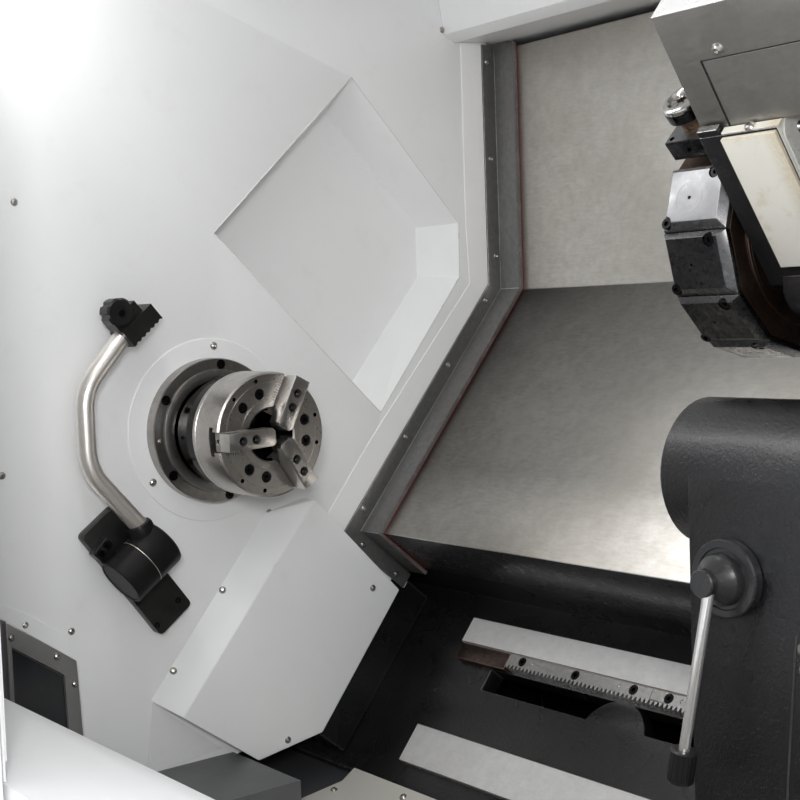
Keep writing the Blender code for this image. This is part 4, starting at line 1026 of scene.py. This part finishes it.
chrome = metal("plated_rod", (0.93, 0.92, 0.91), (0.87, 0.86, 0.85), (0.7, 0.68, 0.66), 0.2, (2, 2, 2), 3.0, 0.04, 0.01,
               0.2, 0.85)
finish(turned("lever_rod", rod_a, rod_b - rod_a, [(3, 5.6), (6, 6.1), (170, 6.1), (192, 6.1)], 32), "clamp_lever_body",
       "ground_steel", chrome)
grip = turned("lever_grip", rod_b, rod_b - rod_a, [(-9, 7), (-9, 12.6), (-7.4, 14.6), (26, 14.9), (28.4, 13),
                                                   (28.8, 6)], 60)
down = (rod_b - rod_a).normalized()
ahead = Vector(Y)
beside = down.cross(ahead).normalized()
cut(grip, *[drill(rod_b - down * 0.006 + (beside * cos(t) + ahead * sin(t)) * 0.0155, down, 1.5, 31, 12)
            for t in (2 * pi * k / 16 for k in range(16))])
finish(grip, "clamp_lever_body", "black_plastic",
       painted("ribbed_grip", (0.006, 0.006, 0.007), (0.01, 0.01, 0.01), (0.04, 0.038, 0.035), 0.34, 0.2, 8))


# Screws and rack: bright dome screws hold the dark frame strip, the canopy, the lower cover and the chute.
# The gear rack is ground steel in lengths butted end to end, each held by cap screws and set by dowels.
copies("frame_screws", dome_head, [(at(4, y, z), X, 0.95) for y, z in ((687, 703), (690, 506), (696, 307), (663, 216),
       (556, 88), (440, -48), (331, -178), (325.5, -248), (404, -315))], "machine", "dark_metal", screw_bright)
bright_screws("canopy_screws", [(at(0, 572, 757), X, 1.0)])
tilt_out = Vector((0.8, -0.46, 0.39)).normalized()
bright_screws("cover_sheet_screws", [(at(x, y, z), w, 1.05) for x, y, z,
                                     w in ((5.2, 8, -287.5, tilt_out), (5.2, -97.5, -414, tilt_out),
                                           (40, 318.5, -326, X), (40, 112, -575, X))])
bright_screws("chute_screws", [(at(118, 155, -659), (0, -0.12, 0.99), 1.1),
                               (at(260, 201, -647), (0, -0.53, 0.85), 1.1)])
rack = twin("gear_rack", "rack_bar")
LENGTHS, RACK_END = (300, 638, 976, 1314), 1490
spots_x = [x + d for x in LENGTHS for d in (36, 167, 299) if x + d < RACK_END]
pins_x = [x + d for x in LENGTHS for d in (63, 269) if x + d < RACK_END]
cut(rack, *[drill(slope @ Vector((x / 1000, -0.0622, -0.6115)), up_slope, 9.2, 8, 28) for x in spots_x],
    *[drill(slope @ Vector((x / 1000, -0.0622, -0.607)), up_slope, 3.6, 4) for x in pins_x],
    *[brick("joint", (x - 0.4, -86, -609), (x + 0.4, -50, -600), slope) for x in LENGTHS[1:]])
finish(rack, "machine", "ground_steel", rack_steel, node="gear_rack")
black_screws("rack_screws", [(slope @ Vector((x / 1000, -0.0622, -0.6125)), up_slope, 1.26) for x in spots_x])

# Work lamp: folded dark sheet frame on the wall's lower corner with a window let into it, and dome screws
# through the frame into the wall.
lamp_dark = painted("lamp_frame_paint", (0.19, 0.188, 0.185), (0.15, 0.148, 0.145), (0.3, 0.28, 0.25), 0.4, 0.5, 2)
# The lamp frame's rounded edges take the same pale painted highlight
softened("work_lamp", 1.4, lamp_dark, frame_edge_highlight)
smoked = painted("smoked_glass", (0.012, 0.014, 0.018), (0.016, 0.018, 0.022), (0.05, 0.05, 0.05), 0.1, 0.3, 3, 0.0)
pane = brick("lamp_pane", (22.2, -396.6, -543.6), (24, -305, -383.6))
edges_of(pane, lambda p, q: max(p.y, q.y) < -0.39 and min(p.z, q.z) > -0.4)
bpy.ops.transform.translate(value=(0, 0, 0.0655))
mode("OBJECT")
eased(pane, 0.5)
settled(pane, HOME)
finish(pane, "machine", "screen_glass", smoked)
copies("lamp_screws", dome_head, [(at(0, y, z), X, 1.0) for y, z in ((-361, -290), (-281, -314))]
       + [(at(30, y, z), X, 0.9) for y, z in ((-322, -344), (-293, -395), (-296, -540), (-397, -300))],
       "machine", "dark_metal", screw_bright)


# Door: sheet panel on rollers in the header's track, with a laminated window held by a rubber seal and a
# bent tube handle. Glass is clear and slightly green at its edge.
softened("door_panel", 2.0, white, white_edge, "door")
glass, gt, shader = blank("laminated_glass")
skin = wire(gt, "Group", node_tree=paint_skin)
feed(gt, skin, {"Grime": 0.25})
smudge = wire(gt, "MapRange", {0: skin.outputs["Grime"], 3: 0.02, 4: 0.3})
tint = wire(gt, "Mix", {0: skin.outputs["Grime"], 6: (0.86, 0.93, 0.9, 1), 7: (0.7, 0.72, 0.7, 1)}, data_type="RGBA")
feed(gt, shader, {"Base Color": tint, "Roughness": smudge, "Transmission Weight": 0.92, "IOR": 1.45})
softened("door_window", 0.8, glass, body="door")
rubber = painted("black_rubber", (0.02, 0.02, 0.021), (0.028, 0.028, 0.028), (0.08, 0.078, 0.07), 0.6, 0.5, 4, 0.1)
bead("window_seal", rounded_ring(-155, 555, -20, 560, 16, -714), 5.5, "door", "black_plastic", rubber, True)
softened("door_handle", 5, plate_black, plate_black_edge, "door")
bright_screws("door_screws", [(at(x, -714, z), FRONT, 1.3) for x in (-330, 700) for z in (-300, -40, 220, 480, 700)],
              "door")

# Control panel: grey sheet box with a framed screen, a pad of raised keys, three buttons in collars and the
# handwheel. Keys are bare, without lettering.
panel_grey = painted("panel_grey", (0.3, 0.31, 0.325), (0.27, 0.28, 0.29), (0.16, 0.15, 0.14), 0.45, 0.3, 1.5)
softened("control_panel", 4, panel_grey)
dark_glass = painted("screen_surface", (0.01, 0.012, 0.016), (0.014, 0.016, 0.02), (0.05, 0.05, 0.05), 0.12, 0.2, 3,
                     0.0)
softened("screen", 1.2, dark_glass)
bead("screen_frame", rounded_ring(1826, 2054, 381, 559, 8, -731.6), 2.6, "machine", "black_plastic", rubber, True)
key_base = painted("key_field", (0.045, 0.047, 0.05), (0.06, 0.06, 0.062), (0.14, 0.13, 0.12), 0.5, 0.3, 3)
softened("keypad", 0.8, key_base)
key_grey = painted("key_caps", (0.42, 0.43, 0.44), (0.36, 0.37, 0.38), (0.22, 0.2, 0.18), 0.45, 0.4, 6)
key_orange = painted("key_caps_tinted", (0.5, 0.2, 0.05), (0.42, 0.17, 0.05), (0.2, 0.12, 0.08), 0.45, 0.4, 6)
for name, mat, test in (("keys", key_grey, lambda i, k: i not in (8, 9)),
                        ("edge_keys", key_orange, lambda i, k: i in (8, 9))):
    caps = [brick("key", (1835 + 21 * i, -738.6, 211 + 19 * k), (1852 + 21 * i, -735.1, 226 + 19 * k))
            for i in range(10) for k in range(7) if test(i, k)]
    pad = joined(name, caps)
    settled(pad, HOME)
    eased(pad, 1.2)
    finish(pad, "machine", "black_plastic", mat)
red_cap = painted("red_button", (0.5, 0.015, 0.012), (0.42, 0.012, 0.01), (0.2, 0.1, 0.09), 0.3, 0.2, 8)
green_cap = painted("green_button", (0.02, 0.3, 0.07), (0.018, 0.25, 0.06), (0.1, 0.15, 0.1), 0.3, 0.2, 8)
for node, x, r, high, body, slot, mat in (("estop_button", 1840, 20, 15, "estop", "red_plastic", red_cap),
                                          ("start_button", 1890, 12, 9, "start", "green_plastic", green_cap),
                                          ("stop_button", 1935, 12, 9, "stop", "red_plastic", red_cap)):
    stem = 0.62 * r if r > 15 else 0.7 * r
    finish(turned(node + "_cap", at(x, -732, 130), FRONT,
                  [(-17.8, stem - 0.4), (5, stem - 0.4), (5, r - 1), (6, r), (high - 3, r), (high - 0.6, r - 2.4),
                   (high, r * 0.5)], 48), body, slot, mat, node=node)
    finish(turned(node + "_collar", at(x, -732, 130), FRONT,
                  [(0.2, r + 0.8), (0.2, r + 4), (2.6, r + 4), (3.2, r + 3.2), (3.2, r + 0.8)], 48, True), "machine",
           "ground_steel", chrome)
wheel = turned("handwheel_disc", at(2020, -732, 150), FRONT, [(-18, 7.2), (4, 7.2), (4, 38), (5, 39.6), (7, 40),
                                                              (13, 40), (15, 39.4), (16, 37.6), (16, 31), (14.4, 29.6),
                                                              (14.4, 15), (16, 13.6), (16, 6)], 96)
cut(wheel, *[brick("flute", (-1, -2, 38.9), (1, 2, 44), Matrix.Translation(at(2020, -742, 150))
             @ spin(a, "Y")) for a in range(0, 360, 10)])
finish(wheel, "handwheel_body", "black_plastic", plate_black, node="handwheel")
finish(turned("wheel_crank", at(2020, -746.6, 178), FRONT, [(0, 4), (3, 4), (3.2, 5.4), (6, 6), (22, 5.4), (25.4, 4)],
              32), "handwheel_body", "black_plastic", plate_black)
ticks = [brick("tick", (-0.3, -0.3, 33), (0.3, 0.3, 37 if a % 36 else 35.4), Matrix.Translation(at(2020, -748.1, 150))
               @ spin(a, "Y")) for a in range(0, 360, 18)]
finish(joined("wheel_scale", ticks), "handwheel_body", "white_sheet", key_grey)

# Electrical cabinet door: a leaf of painted steel sheet with a rubber seal, louvres and a pressed latch plate.
# It hangs on two hinges, and screws hold the leaves.
softened("cabinet_door", 3, white, white_edge, "cabinet_leaf")
slats = [brick("louvre", (2138.1, y, z), (2141, y + 120, z + 5)) for y in (-250, 300) for z in range(-470, -350, 16)]
vent = settled(joined("leaf_louvres", slats), HOME)
eased(vent, 0.9)
finish(vent, "cabinet_leaf", "grey_sheet", panel_grey)
for k, z in enumerate((-430, 510)):
    finish(turned(f"leaf_hinge_{k + 1}", at(2130, 691.4, z), Z,
                  [(0, 5), (0.8, 6), (38, 6), (38.6, 5.2), (41.4, 5.2), (42, 6), (79.2, 6), (80, 5)], 32), "machine",
           "dark_metal", plate_black)
bright_screws("leaf_screws", [(at(2138, y, z), X, 1.2) for y in (-376, 656) for z in (-540, 620)], "cabinet_leaf")
for ob in (cap_head, dome_head):
    bpy.data.objects.remove(ob, do_unlink=True)
